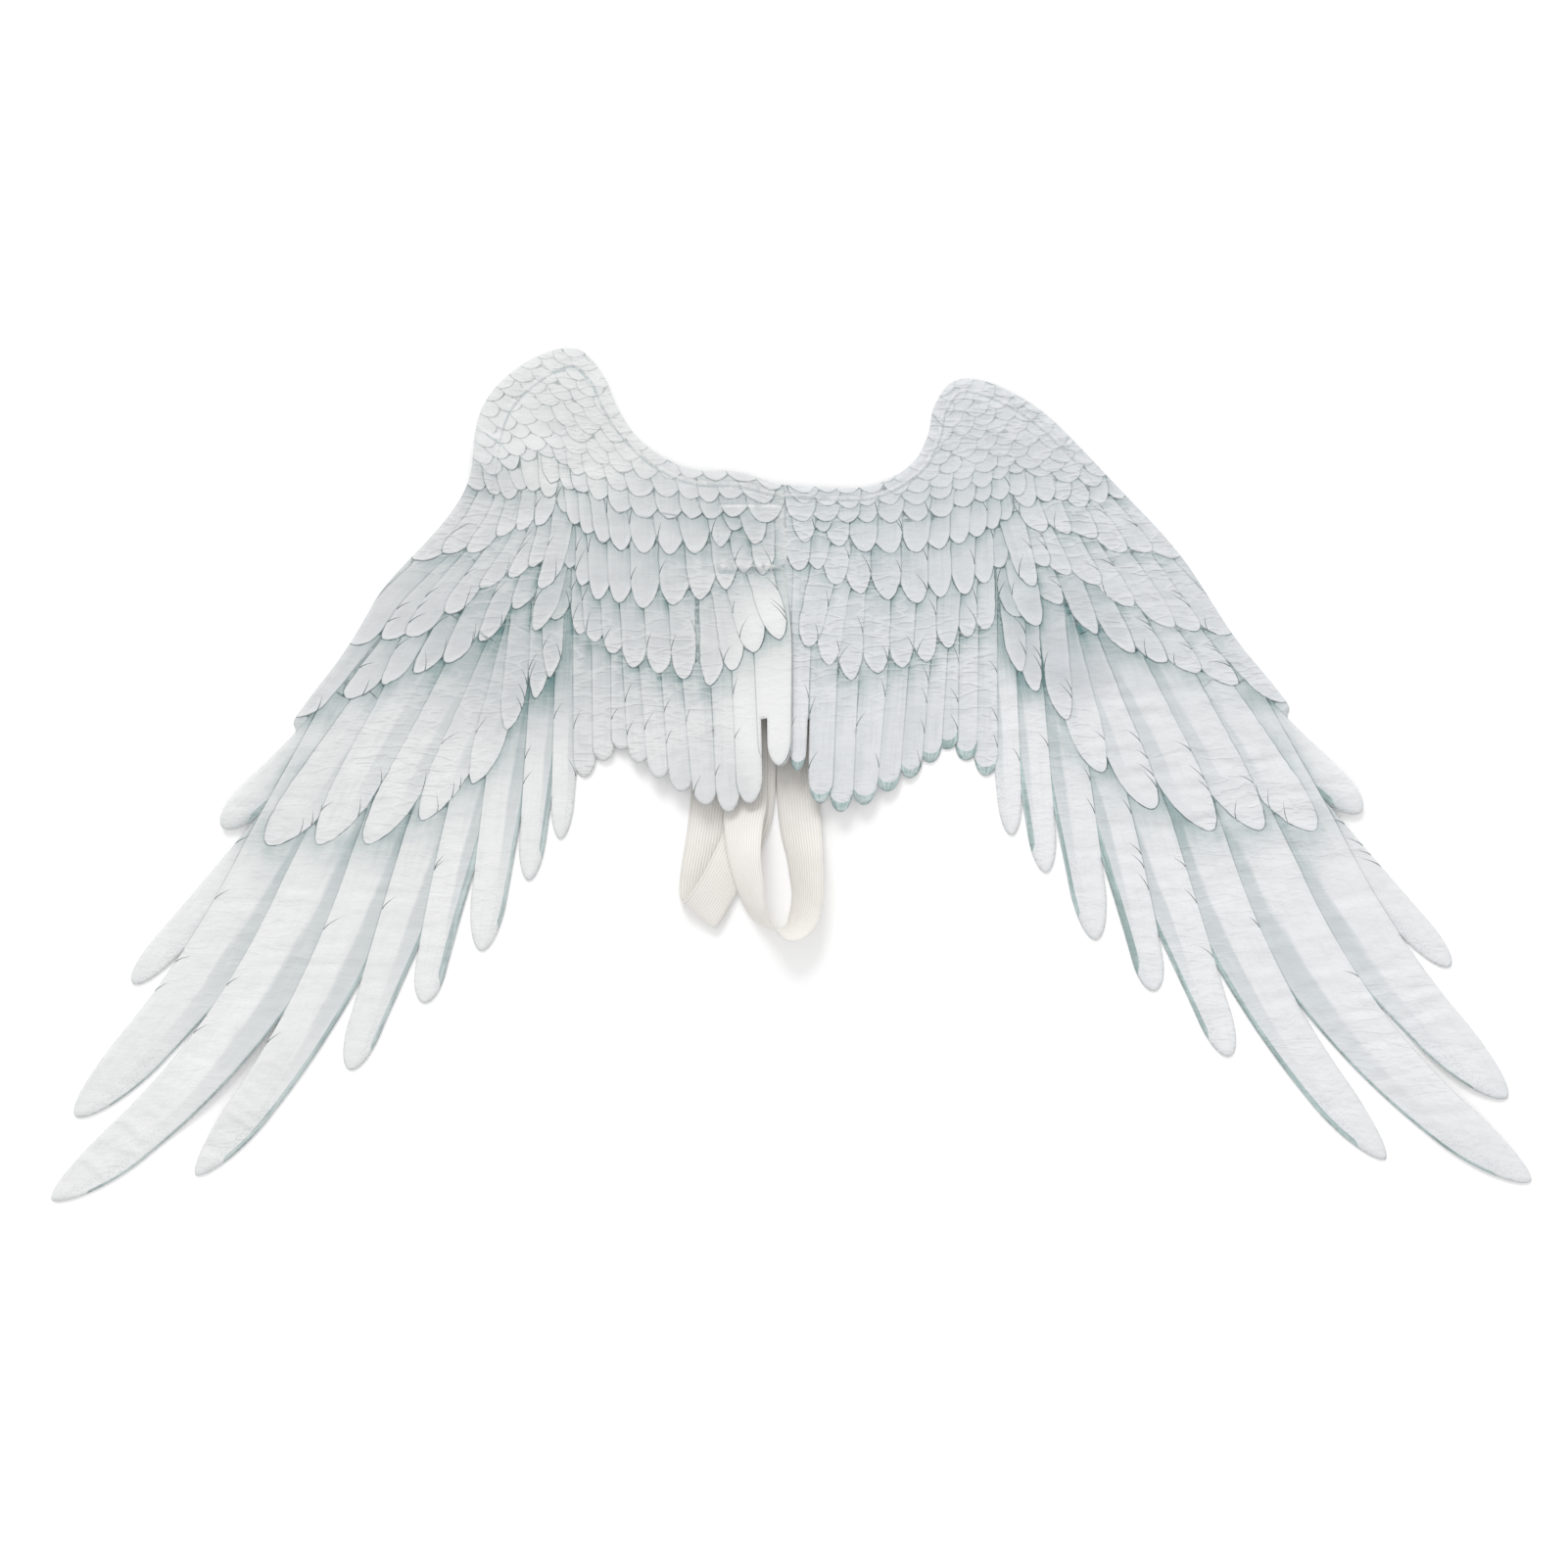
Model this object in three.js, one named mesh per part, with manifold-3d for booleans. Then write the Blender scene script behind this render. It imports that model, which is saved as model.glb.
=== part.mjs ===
// Costume wings lying face up: two printed cloth panels that meet at a centre seam, with cut
// feather ends, and two elastic arm loops sewn behind the left panel.
// Millimetres. X runs along the span, Y towards the neckline, Z up from the surface below.
// A panel is drawn in its own pattern frame, measured from the top of the centre seam:
// out points away from the seam and up points towards the neckline.

import * as THREE from 'three';
import { mergeVertices } from 'three/addons/utils/BufferGeometryUtils.js';
import Module from 'manifold-3d';

const CLOTH = 2.4;               // thickness of a panel
const SEAM_X = -4.7;             // centre seam
const NECK_Y = 204.3;            // neckline at the seam
const SEAM_GAP = 0.3;            // clearance between the two panels along the seam
const SEWN = 63;                 // length of the sewn part of the seam, a slit below it
const CELL = 20;                 // grid step of the cloth

const ELASTIC = { wide: 30, thick: 1.5 };

// Both panels are cut alike but for inner, the feather beside the seam. The left one lies a little
// lower at its tip, with its wrist stretched outwards, its outer edge drawn in and pinched by a
// crease, and its inner edge leaning over the right one.
const WINGS = [
  {
    name: 'left_wing', side: -1, droop: 1, drop: 4, reach: [24.5, 22], draw: 7, pinch: 17,
    lean: 3, lap: 2.2, lapFrom: 115, flap: 5.5,
    inner: { root: [6.3, -100], tip: [6, -199], bow: 0, wide: 16, rootWide: 17, taper: 17, round: 2 },
  },
  {
    name: 'right_wing', side: 1, droop: 0, drop: 0, reach: [0, 0], draw: 0, pinch: 0,
    lean: 0, lap: -4, lapFrom: 80, flap: 0,
    inner: { root: [12, -100], tip: [9, -202.5], bow: 0, wide: 12, rootWide: 14, taper: 17, round: 2 },
  },
];
const PINCH = { up: -16, half: 62 };   // middle and half height of the crease in the outer edge

// Leading edge from the seam over the neckline and the wrist to the outermost covert.
const EDGE = [
  [SEAM_GAP / 2, 0.7], [51, -1.4], [76, 6], [93, 19], [102, 37], [106, 56], [118, 73], [134, 76],
  [158, 68], [190, 47], [237, -1], [281, -49], [318, -105], [347, -141], [358, -156], [357, -162],
];
// Lower limit of the panel's body, hidden under the roots of the flight feathers.
const UNDER = [
  [362, -205], [392, -262], [385, -300], [340, -310], [300, -285], [258, -262], [222, -235],
  [190, -212], [165, -180], [150, -166], [60, -175], [14, -165],
];

// Flight feathers from the outermost one towards the seam. bow is how far the middle swings towards the
// seam, wide and rootWide are the widths at the tip and the root, taper is the length of the tip,
// and round is its power: 2 is an ellipse, less is more pointed.
const FLIGHT = [
  { root: [304, -136], tip: [409.4, -231.5], bow: 0, wide: 23, rootWide: 35, taper: 27, round: 2 },
  { root: [341, -198], tip: [473, -341], bow: 0.5, wide: 21.5, rootWide: 32, taper: 40, round: 2 },
  { root: [369, -254], tip: [513.5, -434.5], bow: 9.5, wide: 37, rootWide: 54, taper: 75, round: 1.8 },
  { root: [341, -282], tip: [530.2, -493.7], bow: 19.5, wide: 34.5, rootWide: 54, taper: 72, round: 1.7 },
  { root: [292, -258], tip: [427, -478], bow: 13, wide: 30, rootWide: 46, taper: 65, round: 1.7 },
  { root: [254, -243], tip: [316.5, -405], bow: 0, wide: 24.5, rootWide: 43, taper: 38, round: 2 },
  { root: [223, -207], tip: [263, -358.5], bow: -1.5, wide: 22, rootWide: 33, taper: 27, round: 2 },
  { root: [196, -173], tip: [221.5, -322.3], bow: 0, wide: 25.5, rootWide: 32, taper: 42, round: 1.9 },
  { root: [171, -152], tip: [186, -274.5], bow: 0, wide: 20, rootWide: 27, taper: 31, round: 1.9 },
  { root: [154, -141], tip: [161.5, -248], bow: 0, wide: 17, rootWide: 22, taper: 27, round: 1.9 },
  { root: [142, -107], tip: [143, -206], bow: 0, wide: 17, rootWide: 18, taper: 17, round: 2 },
  { root: [129, -107], tip: [129, -195], bow: 0, wide: 15.5, rootWide: 17, taper: 11, round: 2 },
  { root: [116, -107], tip: [115.5, -187], bow: 0, wide: 15, rootWide: 15.5, taper: 9, round: 2 },
  { root: [108.5, -107], tip: [103, -196.5], bow: 0, wide: 15.5, rootWide: 15.5, taper: 12.5, round: 2 },
  { root: [96.5, -107], tip: [88.5, -207.5], bow: 0, wide: 16.5, rootWide: 16.5, taper: 14, round: 2 },
  { root: [80.5, -107], tip: [72.5, -217], bow: 0, wide: 17.5, rootWide: 18, taper: 14, round: 2 },
  { root: [65.5, -107], tip: [55.5, -226.5], bow: 0, wide: 18, rootWide: 19.5, taper: 15, round: 2 },
  { root: [44.5, -107], tip: [39.5, -231.5], bow: 0, wide: 17, rootWide: 18, taper: 17, round: 2 },
  { root: [28.5, -107], tip: [25, -225.5], bow: 0, wide: 17.5, rootWide: 19.5, taper: 19.5, round: 2 },
];

// The cloth lies flat but for a low rise over the stacked straps, which grows towards its lower
// edge where the loops come out.
const RISE = { x: [-78, 30], y: [-40, 192], high: 5.5, edge: 7, edgeY: [80, -10], ramp: 76 };

// Soft folds and lifted tips: centre in the pattern frame, direction, half sizes and height.
const FOLDS = [
  { wing: 'left_wing', at: [196, 16], turn: -4, long: 62, wide: 34, high: 5 },
  { wing: 'left_wing', at: [150, 66], turn: 30, long: 58, wide: 40, high: 4 },
  { wing: 'left_wing', at: [392, -225], turn: -42, long: 48, wide: 34, high: 5 },
  { wing: 'left_wing', at: [392, -420], turn: -55, long: 80, wide: 36, high: 4 },
  { wing: 'right_wing', at: [150, 52], turn: -24, long: 66, wide: 38, high: 4 },
  { wing: 'right_wing', at: [395, -214], turn: -42, long: 52, wide: 36, high: 5 },
  { wing: 'right_wing', at: [478, -440], turn: -48, long: 84, wide: 34, high: 4 },
];

// Route of each elastic band from its first sewn end, round the loop, to the other. x and y are the
// middle of the band, lift is its lower edge above the surface, turn is the direction in plan from
// one edge to the other, and bank is how far that line tips up, all angles in degrees. The left
// loop folds back over itself, and the right one twists over its lower edge.
const STRAPS = {
  left_strap: [
    { x: -38, y: 199, lift: 3.6, turn: 0, bank: 0 }, { x: -41, y: 180, lift: 3.2, turn: 0, bank: 0 },
    { x: -45, y: 162, lift: 1.4, turn: 0, bank: 0 }, { x: -47, y: 148, lift: 0, turn: 0, bank: 0 },
    { x: -50, y: 110, lift: 0, turn: 0, bank: 0 }, { x: -54, y: 50, lift: 0, turn: 0, bank: 0 },
    { x: -56, y: -12, lift: 0, turn: -3, bank: 0 }, { x: -59.5, y: -44, lift: 0, turn: -7, bank: 0 },
    { x: -63.5, y: -68, lift: 0, turn: -12, bank: 0 }, { x: -66, y: -86, lift: 0.3, turn: -24, bank: 0 },
    { x: -67, y: -97, lift: 2, turn: -36, bank: -4 }, { x: -65, y: -100, lift: 5.4, turn: -41, bank: -12 },
    { x: -59, y: -92, lift: 6, turn: -42, bank: -20 }, { x: -50, y: -77, lift: 3, turn: -37, bank: -22 },
    { x: -40, y: -59, lift: 2.5, turn: -29, bank: -9 }, { x: -31, y: -38, lift: 2.3, turn: -20, bank: -1 },
    { x: -26.5, y: -12, lift: 1.9, turn: -7, bank: 0 }, { x: -25, y: 50, lift: 1.8, turn: 0, bank: 0 },
    { x: -23, y: 110, lift: 1.8, turn: 0, bank: 0 }, { x: -21, y: 149, lift: 1.8, turn: 0, bank: 0 },
  ],
  right_strap: [
    { x: -37, y: 149, lift: 3.6, turn: 0, bank: 0 }, { x: -36, y: 110, lift: 3.6, turn: 0, bank: 0 },
    { x: -33, y: 50, lift: 3.9, turn: 0, bank: 0 }, { x: -32, y: -12, lift: 4.6, turn: 0, bank: 0 },
    { x: -34, y: -36, lift: 6.2, turn: 0, bank: 22 }, { x: -33.5, y: -58, lift: 8, turn: 4, bank: 38 },
    { x: -29.8, y: -77, lift: 7.2, turn: 12, bank: 48 }, { x: -24.7, y: -96, lift: 3, turn: 27, bank: 64 },
    { x: -17.7, y: -105.5, lift: 1, turn: 47, bank: 76 },
    { x: -10.5, y: -110.7, lift: 0, turn: 68, bank: 90 },
    { x: -3.5, y: -112.5, lift: 0, turn: 92, bank: 110 }, { x: 3.7, y: -109, lift: 0, turn: 130, bank: 127 },
    { x: 9.3, y: -99.7, lift: 0, turn: 156, bank: 136 }, { x: 11.4, y: -86, lift: 0, turn: 174, bank: 138 },
    { x: 10.7, y: -72, lift: 0, turn: 183, bank: 143 }, { x: 9.5, y: -58, lift: 0, turn: 186, bank: 150 },
    { x: 6.5, y: -36, lift: 0, turn: 187, bank: 170 }, { x: 4.5, y: -12, lift: 0, turn: 185, bank: 180 },
    { x: 0, y: 50, lift: 0, turn: 184, bank: 180 }, { x: -5.5, y: 110, lift: 0, turn: 185, bank: 180 },
    { x: -10, y: 150, lift: 0, turn: 188, bank: 180 }, { x: -14, y: 168, lift: 0.2, turn: 190, bank: 180 },
    { x: -21, y: 199, lift: 1.8, turn: 190, bank: 180 },
  ],
};

const { smoothstep, degToRad, lerp } = THREE.MathUtils;

const wasm = await Module();
wasm.setup();

function toSolid(geometry) {
  geometry.deleteAttribute('normal');
  geometry.deleteAttribute('uv');
  const merged = mergeVertices(geometry, 1e-4);
  return new wasm.Manifold(new wasm.Mesh({
    numProp: 3,
    vertProperties: new Float32Array(merged.attributes.position.array),
    triVerts: new Uint32Array(merged.index.array),
  }));
}

function toGeometry(solid) {
  const mesh = solid.getMesh();
  const geometry = new THREE.BufferGeometry();
  geometry.setAttribute('position', new THREE.BufferAttribute(mesh.vertProperties, 3));
  geometry.setIndex(new THREE.BufferAttribute(mesh.triVerts, 1));
  return geometry;
}

// Rises from 0 at a to 1 at b, in either direction.
function ramp(value, a, b) {
  return a < b ? smoothstep(value, a, b) : 1 - smoothstep(value, b, a);
}

// A pattern point of one panel, in X and Y: the wrist reaches out, the outer edge is drawn in,
// the panel droops about the top of the seam and the left one is mirrored.
function place(wing, [out, up]) {
  const wrist = ramp(out, 0, 35) * ramp(up, -90, 76);
  const drawn = ramp(up, 70, -10) * ramp(up, -600, -100) * ramp(out + 0.75 * up, 60, 230);
  const crease = Math.max(0, 1 - ((up - PINCH.up) / PINCH.half) ** 2) ** 2 * ramp(out, 140, 250);
  const over = ramp(out, 24, 6) * ramp(up, -SEWN, -120);
  const o = out + wing.reach[0] * wrist * wrist - wing.draw * drawn - wing.pinch * crease
    - wing.lean * over;
  const u = up + wing.reach[1] * wrist
    - wing.drop * ramp(out, 130, 215) * ramp(up, -60, -160);
  const droop = degToRad(wing.droop) * ramp(out, 110, 210);
  const x = o * Math.cos(droop) + u * Math.sin(droop);
  const y = u * Math.cos(droop) - o * Math.sin(droop);
  return new THREE.Vector2(SEAM_X + wing.side * x, NECK_Y + y);
}

// Outline of a feather: sides along a bowed middle line, closed by a superellipse at the tip.
function featherOutline({ root, tip, bow, wide, rootWide, taper, round }) {
  const from = new THREE.Vector2(...root);
  const along = new THREE.Vector2(...tip).sub(from);
  const length = along.length();
  along.normalize();
  const inward = new THREE.Vector2(along.y, -along.x);
  const back = [];
  for (let i = 0; i < 8; i++) back.push(taper * (1 - Math.cos((i / 8) * Math.PI / 2)));
  for (let i = 0; i <= 5; i++) back.push(lerp(taper, length, i / 5));
  const inner = [];
  const outer = [];
  for (const s of back) {
    const f = 1 - s / length;
    const middle = from.clone().addScaledVector(along, f * length)
      .addScaledVector(inward, 4 * bow * f * (1 - f));
    const heading = along.clone().addScaledVector(inward, 4 * bow * (1 - 2 * f) / length).normalize();
    const across = new THREE.Vector2(heading.y, -heading.x);
    const end = s < taper ? (1 - (1 - s / taper) ** round) ** (1 / round) : 1;
    const half = 0.5 * end * lerp(wide, rootWide, Math.max(0, (s - taper) / (length - taper)));
    inner.push(middle.clone().addScaledVector(across, half).toArray());
    if (half > 0) outer.push(middle.clone().addScaledVector(across, -half).toArray());
  }
  return [...inner.reverse(), ...outer];
}

function bodyOutline(wing) {
  const edge = new THREE.SplineCurve(EDGE.map((p) => new THREE.Vector2(...p)));
  return [
    ...edge.getPoints(3 * (EDGE.length - 1)).map((p) => p.toArray()),
    ...UNDER,
    [-wing.lap, -158], [-wing.lap, -wing.lapFrom], [SEAM_GAP / 2, -SEWN],
  ];
}

function prism(wing, outline) {
  const shape = new THREE.Shape(outline.map((p) => place(wing, p)));
  const geometry = new THREE.ExtrudeGeometry(shape, { depth: 40, bevelEnabled: false });
  return toSolid(geometry.translate(0, 0, -2));
}

// Height of a panel's back above the surface.
function clothHeight(wing, x, y) {
  const flat = ramp(x, RISE.x[0] - RISE.ramp, RISE.x[0]) * ramp(x, RISE.x[1] + RISE.ramp, RISE.x[1])
    * ramp(y, RISE.y[1] + RISE.ramp, RISE.y[1]);
  let z = flat * (RISE.high + RISE.edge * ramp(y, ...RISE.edgeY));
  const out = wing.side * (x - SEAM_X);
  const up = y - NECK_Y;
  z += wing.flap * ramp(out, 44, 6) * ramp(up, -SEWN - 6, -112);
  for (const fold of FOLDS.filter((f) => f.wing === wing.name)) {
    const turn = degToRad(fold.turn);
    const dx = out - fold.at[0];
    const dy = up - fold.at[1];
    const a = (dx * Math.cos(turn) + dy * Math.sin(turn)) / fold.long;
    const b = (dy * Math.cos(turn) - dx * Math.sin(turn)) / fold.wide;
    z += fold.high * Math.max(0, 1 - a * a - b * b) ** 2;
  }
  return z;
}

function makeWing(wing) {
  let cut = prism(wing, bodyOutline(wing));
  for (const row of [...FLIGHT, wing.inner]) cut = cut.add(prism(wing, featherOutline(row)));
  const box = cut.boundingBox();
  const wide = box.max[0] - box.min[0] + 2 * CELL;
  const tall = box.max[1] - box.min[1] + 2 * CELL;
  const cloth = new THREE.BoxGeometry(
    wide, tall, CLOTH, Math.round(wide / CELL), Math.round(tall / CELL), 1);
  cloth.translate((box.min[0] + box.max[0]) / 2, (box.min[1] + box.max[1]) / 2, 0);
  const p = cloth.attributes.position;
  for (let i = 0; i < p.count; i++) {
    const back = clothHeight(wing, p.getX(i), p.getY(i));
    p.setZ(i, p.getZ(i) > 0 ? back + CLOTH : back);
  }
  const material = new THREE.MeshStandardMaterial({ color: 0xe4e8ea, roughness: 0.92, metalness: 0 });
  const mesh = new THREE.Mesh(toGeometry(cut.intersect(toSolid(cloth))), material);
  mesh.name = wing.name;
  return mesh;
}

// A flat band bent along its route, with its two edges where turn and bank put them.
function makeStrap(name, route) {
  const curve = (f) => new THREE.CatmullRomCurve3(route.map(f), false, 'catmullrom', 0.5);
  const angles = curve((r) => new THREE.Vector3(degToRad(r.turn), degToRad(r.bank), 0));
  const line = curve((r) => {
    const bank = degToRad(r.bank);
    const wide = ELASTIC.wide * Math.abs(Math.sin(bank));
    const thick = ELASTIC.thick * Math.abs(Math.cos(bank));
    return new THREE.Vector3(r.x, r.y, r.lift + (wide + thick) / 2);
  });
  const band = new THREE.BoxGeometry(1, ELASTIC.wide, ELASTIC.thick, 4 * (route.length - 1), 1, 1);
  const p = band.attributes.position;
  for (let i = 0; i < p.count; i++) {
    const u = THREE.MathUtils.clamp(p.getX(i) + 0.5, 0, 1);
    const { x: turn, y: bank } = angles.getPoint(u);
    const across = new THREE.Vector3(
      Math.cos(bank) * Math.cos(turn), Math.cos(bank) * Math.sin(turn), Math.sin(bank));
    const normal = line.getTangent(u).cross(across).normalize();
    const point = line.getPoint(u)
      .addScaledVector(across, p.getY(i)).addScaledVector(normal, p.getZ(i));
    p.setXYZ(i, point.x, point.y, Math.max(0, point.z));
  }
  band.deleteAttribute('normal');
  band.deleteAttribute('uv');
  const material = new THREE.MeshStandardMaterial({ color: 0xebe9e5, roughness: 0.85, metalness: 0 });
  const mesh = new THREE.Mesh(mergeVertices(band, 1e-4), material);
  mesh.name = name;
  return mesh;
}

const wings = new THREE.Group();
for (const wing of WINGS) wings.add(makeWing(wing));
for (const [name, route] of Object.entries(STRAPS)) wings.add(makeStrap(name, route));

export default wings;
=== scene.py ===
# Costume wings laid flat: two printed cloth panels with cut feather ends and two elastic arm loops.
import math
import bmesh
import bpy
import numpy as np
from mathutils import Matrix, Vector
from mathutils.bvhtree import BVHTree
from mathutils.geometry import delaunay_2d_cdt


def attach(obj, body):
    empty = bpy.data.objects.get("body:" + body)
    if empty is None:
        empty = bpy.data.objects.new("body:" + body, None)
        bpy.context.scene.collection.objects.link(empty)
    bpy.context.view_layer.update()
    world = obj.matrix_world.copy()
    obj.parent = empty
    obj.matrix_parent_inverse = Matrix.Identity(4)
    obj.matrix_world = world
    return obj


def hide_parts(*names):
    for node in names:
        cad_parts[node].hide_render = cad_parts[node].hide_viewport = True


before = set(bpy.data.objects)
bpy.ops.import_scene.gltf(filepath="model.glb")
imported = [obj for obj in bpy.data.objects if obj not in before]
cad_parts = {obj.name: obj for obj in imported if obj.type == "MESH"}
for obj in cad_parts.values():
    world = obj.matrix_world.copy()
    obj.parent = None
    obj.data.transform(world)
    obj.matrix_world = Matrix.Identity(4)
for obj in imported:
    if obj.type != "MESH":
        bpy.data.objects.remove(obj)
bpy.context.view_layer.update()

mm = 0.001
rng = np.random.default_rng(11)
scene = bpy.context.scene

# All shapes are worked out in millimetres. A panel is drawn in its own pattern frame, measured from
# the top of the centre seam: out points away from the seam, up towards the neckline.
panel = {
    "thick": 2.2, "seamX": -4.7, "neckY": 204.3, "seamGap": 0.06, "sewn": 63,
    "pinchUp": -16, "pinchHalf": 62,
    "cell": 2.3,            # step of the cloth's mesh
    "rowStep": 0.87,        # rows of that mesh, in steps
    "free": 0.36,           # its points keep this many steps off every outline
    "weld": 1e-4,           # nearer points are one
    "outline": 2.7,         # longest edge along an outline
    "rimWide": 1.5,         # the cut edge is rounded over this distance
    "rimShare": 0.3,        # share of the thickness left at the edge itself
    "clear": 0.1,           # kept off the floor and the straps
    "channel": 9,           # topstitching this far inside the leading edge
    "hemEnd": (195, 228),   # where that runs out below the wrist
    "wristFrom": (95, 150),  # where it changes to the wing's own distance
    "flapLow": 158,         # straight inner edge down to here
    "seamFlat": (3, 1.5),   # no rounded rim along the sewn seam
    "reliefFrom": (0, 4),   # the front's relief starts this far inside the rim
    # the inner flap is painted whiter, a painted pool of light on it
    "paintedLightOut": (44, 8), "paintedLightUp": (-66, -95),   # where the inner flap is whiter
}

# the two panels: how each lies, how its print is shifted, and the feathers that only it has
wings = [
    {"name": "left_wing", "side": -1, "droop": 1, "drop": 4, "reach": (24.5, 22), "draw": 7,
     "pinch": 17, "lean": 3, "lap": 2.2, "lapFrom": 115, "flap": 3.6,
     "shift": (6, -4), "scaleLean": 12, "channel": 15, "paintedLight": 0.9,
     "tealTip": 0, "inner": ((6.3, -100), (6, -199), 0, 16, 17, 17, 2),
     "printed": [((10.5, -60), (9, -199), 0, 20, 27, 17, 2)],
     "first": {"lowerArm": [(-1, -105)]}},
    {"name": "right_wing", "side": 1, "droop": 0, "drop": 0, "reach": (0, 0), "draw": 0,
     "pinch": 0, "lean": 0, "lap": -4, "lapFrom": 103, "flap": 0,
     "shift": (0, 0), "scaleLean": 0, "channel": 10, "paintedLight": 0.0,
     "tealTip": 6.5, "inner": ((12, -100), (9, -202.5), 0, 12, 14, 17, 2),
     "printed": [], "first": {}},
]

# leading edge from the seam over the neckline and the wrist to the outermost covert
leadingEdge = [
    (0.03, 0.7), (51, -1.4), (76, 6), (93, 19), (102, 37), (106, 56), (118, 73), (134, 76),
    (158, 68), (190, 47), (237, -1), (281, -49), (318, -105), (347, -141), (358, -156), (357, -162),
]
# lower limit of the panel's body, under the roots of the flight feathers
underEdge = [
    (362, -205), (392, -262), (385, -300), (340, -310), (300, -285), (258, -262), (222, -235),
    (190, -212), (165, -180), (150, -166), (60, -175), (14, -165),
]

# cut flight feathers, outermost first: root, tip, bow, width at tip and root, taper, power of the tip;
# the innermost one differs between the panels and stands with them above, as do the height of the green
# crescent under the short ones and a feather that is printed there and not cut
flightColumns = ("root", "tip", "bow", "wide", "rootWide", "taper", "power")
flightRows = [
    ((304, -136), (409.4, -231.5), 0, 23, 35, 27, 2),
    ((341, -198), (473, -341), 0.5, 21.5, 32, 40, 2),
    ((369, -254), (513.5, -434.5), 9.5, 37, 54, 75, 1.8),
    ((341, -282), (530.2, -493.7), 19.5, 34.5, 54, 72, 1.7),
    ((292, -258), (427, -478), 13, 30, 46, 65, 1.7),
    ((254, -243), (316.5, -405), 0, 24.5, 43, 38, 2),
    ((223, -207), (263, -358.5), -1.5, 22, 33, 27, 2),
    ((196, -173), (221.5, -322.3), 0, 25.5, 32, 42, 1.9),
    ((171, -152), (186, -274.5), 0, 20, 27, 31, 1.9),
    ((154, -141), (161.5, -248), 0, 17, 22, 27, 1.9),
    ((142, -107), (143, -206), 0, 17, 18, 17, 2),
    ((129, -107), (129, -195), 0, 15.5, 17, 11, 2),
    ((116, -107), (115.5, -187), 0, 15, 15.5, 9, 2),
    ((108.5, -107), (103, -196.5), 0, 15.5, 15.5, 12.5, 2),
    ((96.5, -107), (88.5, -207.5), 0, 16.5, 16.5, 14, 2),
    ((80.5, -107), (72.5, -217), 0, 17.5, 18, 14, 2),
    ((65.5, -107), (55.5, -226.5), 0, 18, 19.5, 15, 2),
    ((44.5, -107), (39.5, -231.5), 0, 17, 18, 17, 2),
    ((28.5, -107), (25, -225.5), 0, 17.5, 19.5, 19.5, 2),
]

# drawn edges: strength along a feather's sides and on the inner and outer half of its tip, the spread
# from feather to feather, and where the tip's line ends, in feather widths from the tip
lines = {"side": 0.3, "inner": 1.0, "outer": 0.4, "vary": (0.65, 1.4), "tip": 0.4, "fade": 1.2}
# hair strokes from a feather's edge inwards and back: length, width at the edge, lean from the feather
hair = {"long": (10, 17), "wide": 0.8, "lean": (16, 34), "points": 5, "outer": 0.65, "apart": 10,
        "curve": 1.5, "point": 0.6,
        "whiteFrom": 0.4, "flightTo": 0.8,                     # shares of a flight feather's length
        "from": 0.3, "covertReach": 1.8, "covertMost": 0.5}    # in widths, and a share of the length
flight = {
    "reach": 70,             # printed length above the cut root
    "more": {2: 50},         # and what the widest one needs to end under the coverts
    "white": 10,             # so many outer ones have a white vane and a full band
    "strip": {0: 4.5, 2: 1.4, 3: 1.8, 4: 3.4, 5: 3.2, 6: 5.0, 7: 3.0, 8: 4.2},   # green inner edges
    "stripEnd": (24, 12),    # those fade out this far from the tip
    "rootStep": 5,           # outline step above the root
}
flightLook = {
    "long": {"line": 0.7, "hairs": 2.6, "vane": 1.0, "band": 1.0},
    "short": {"line": 1.0, "hairs": 2.4, "vane": 0.35, "band": 0.4},
    "inner": {"line": 0.8, "hairs": 1.5, "vane": 0.6, "band": 0.2},
}

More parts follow.
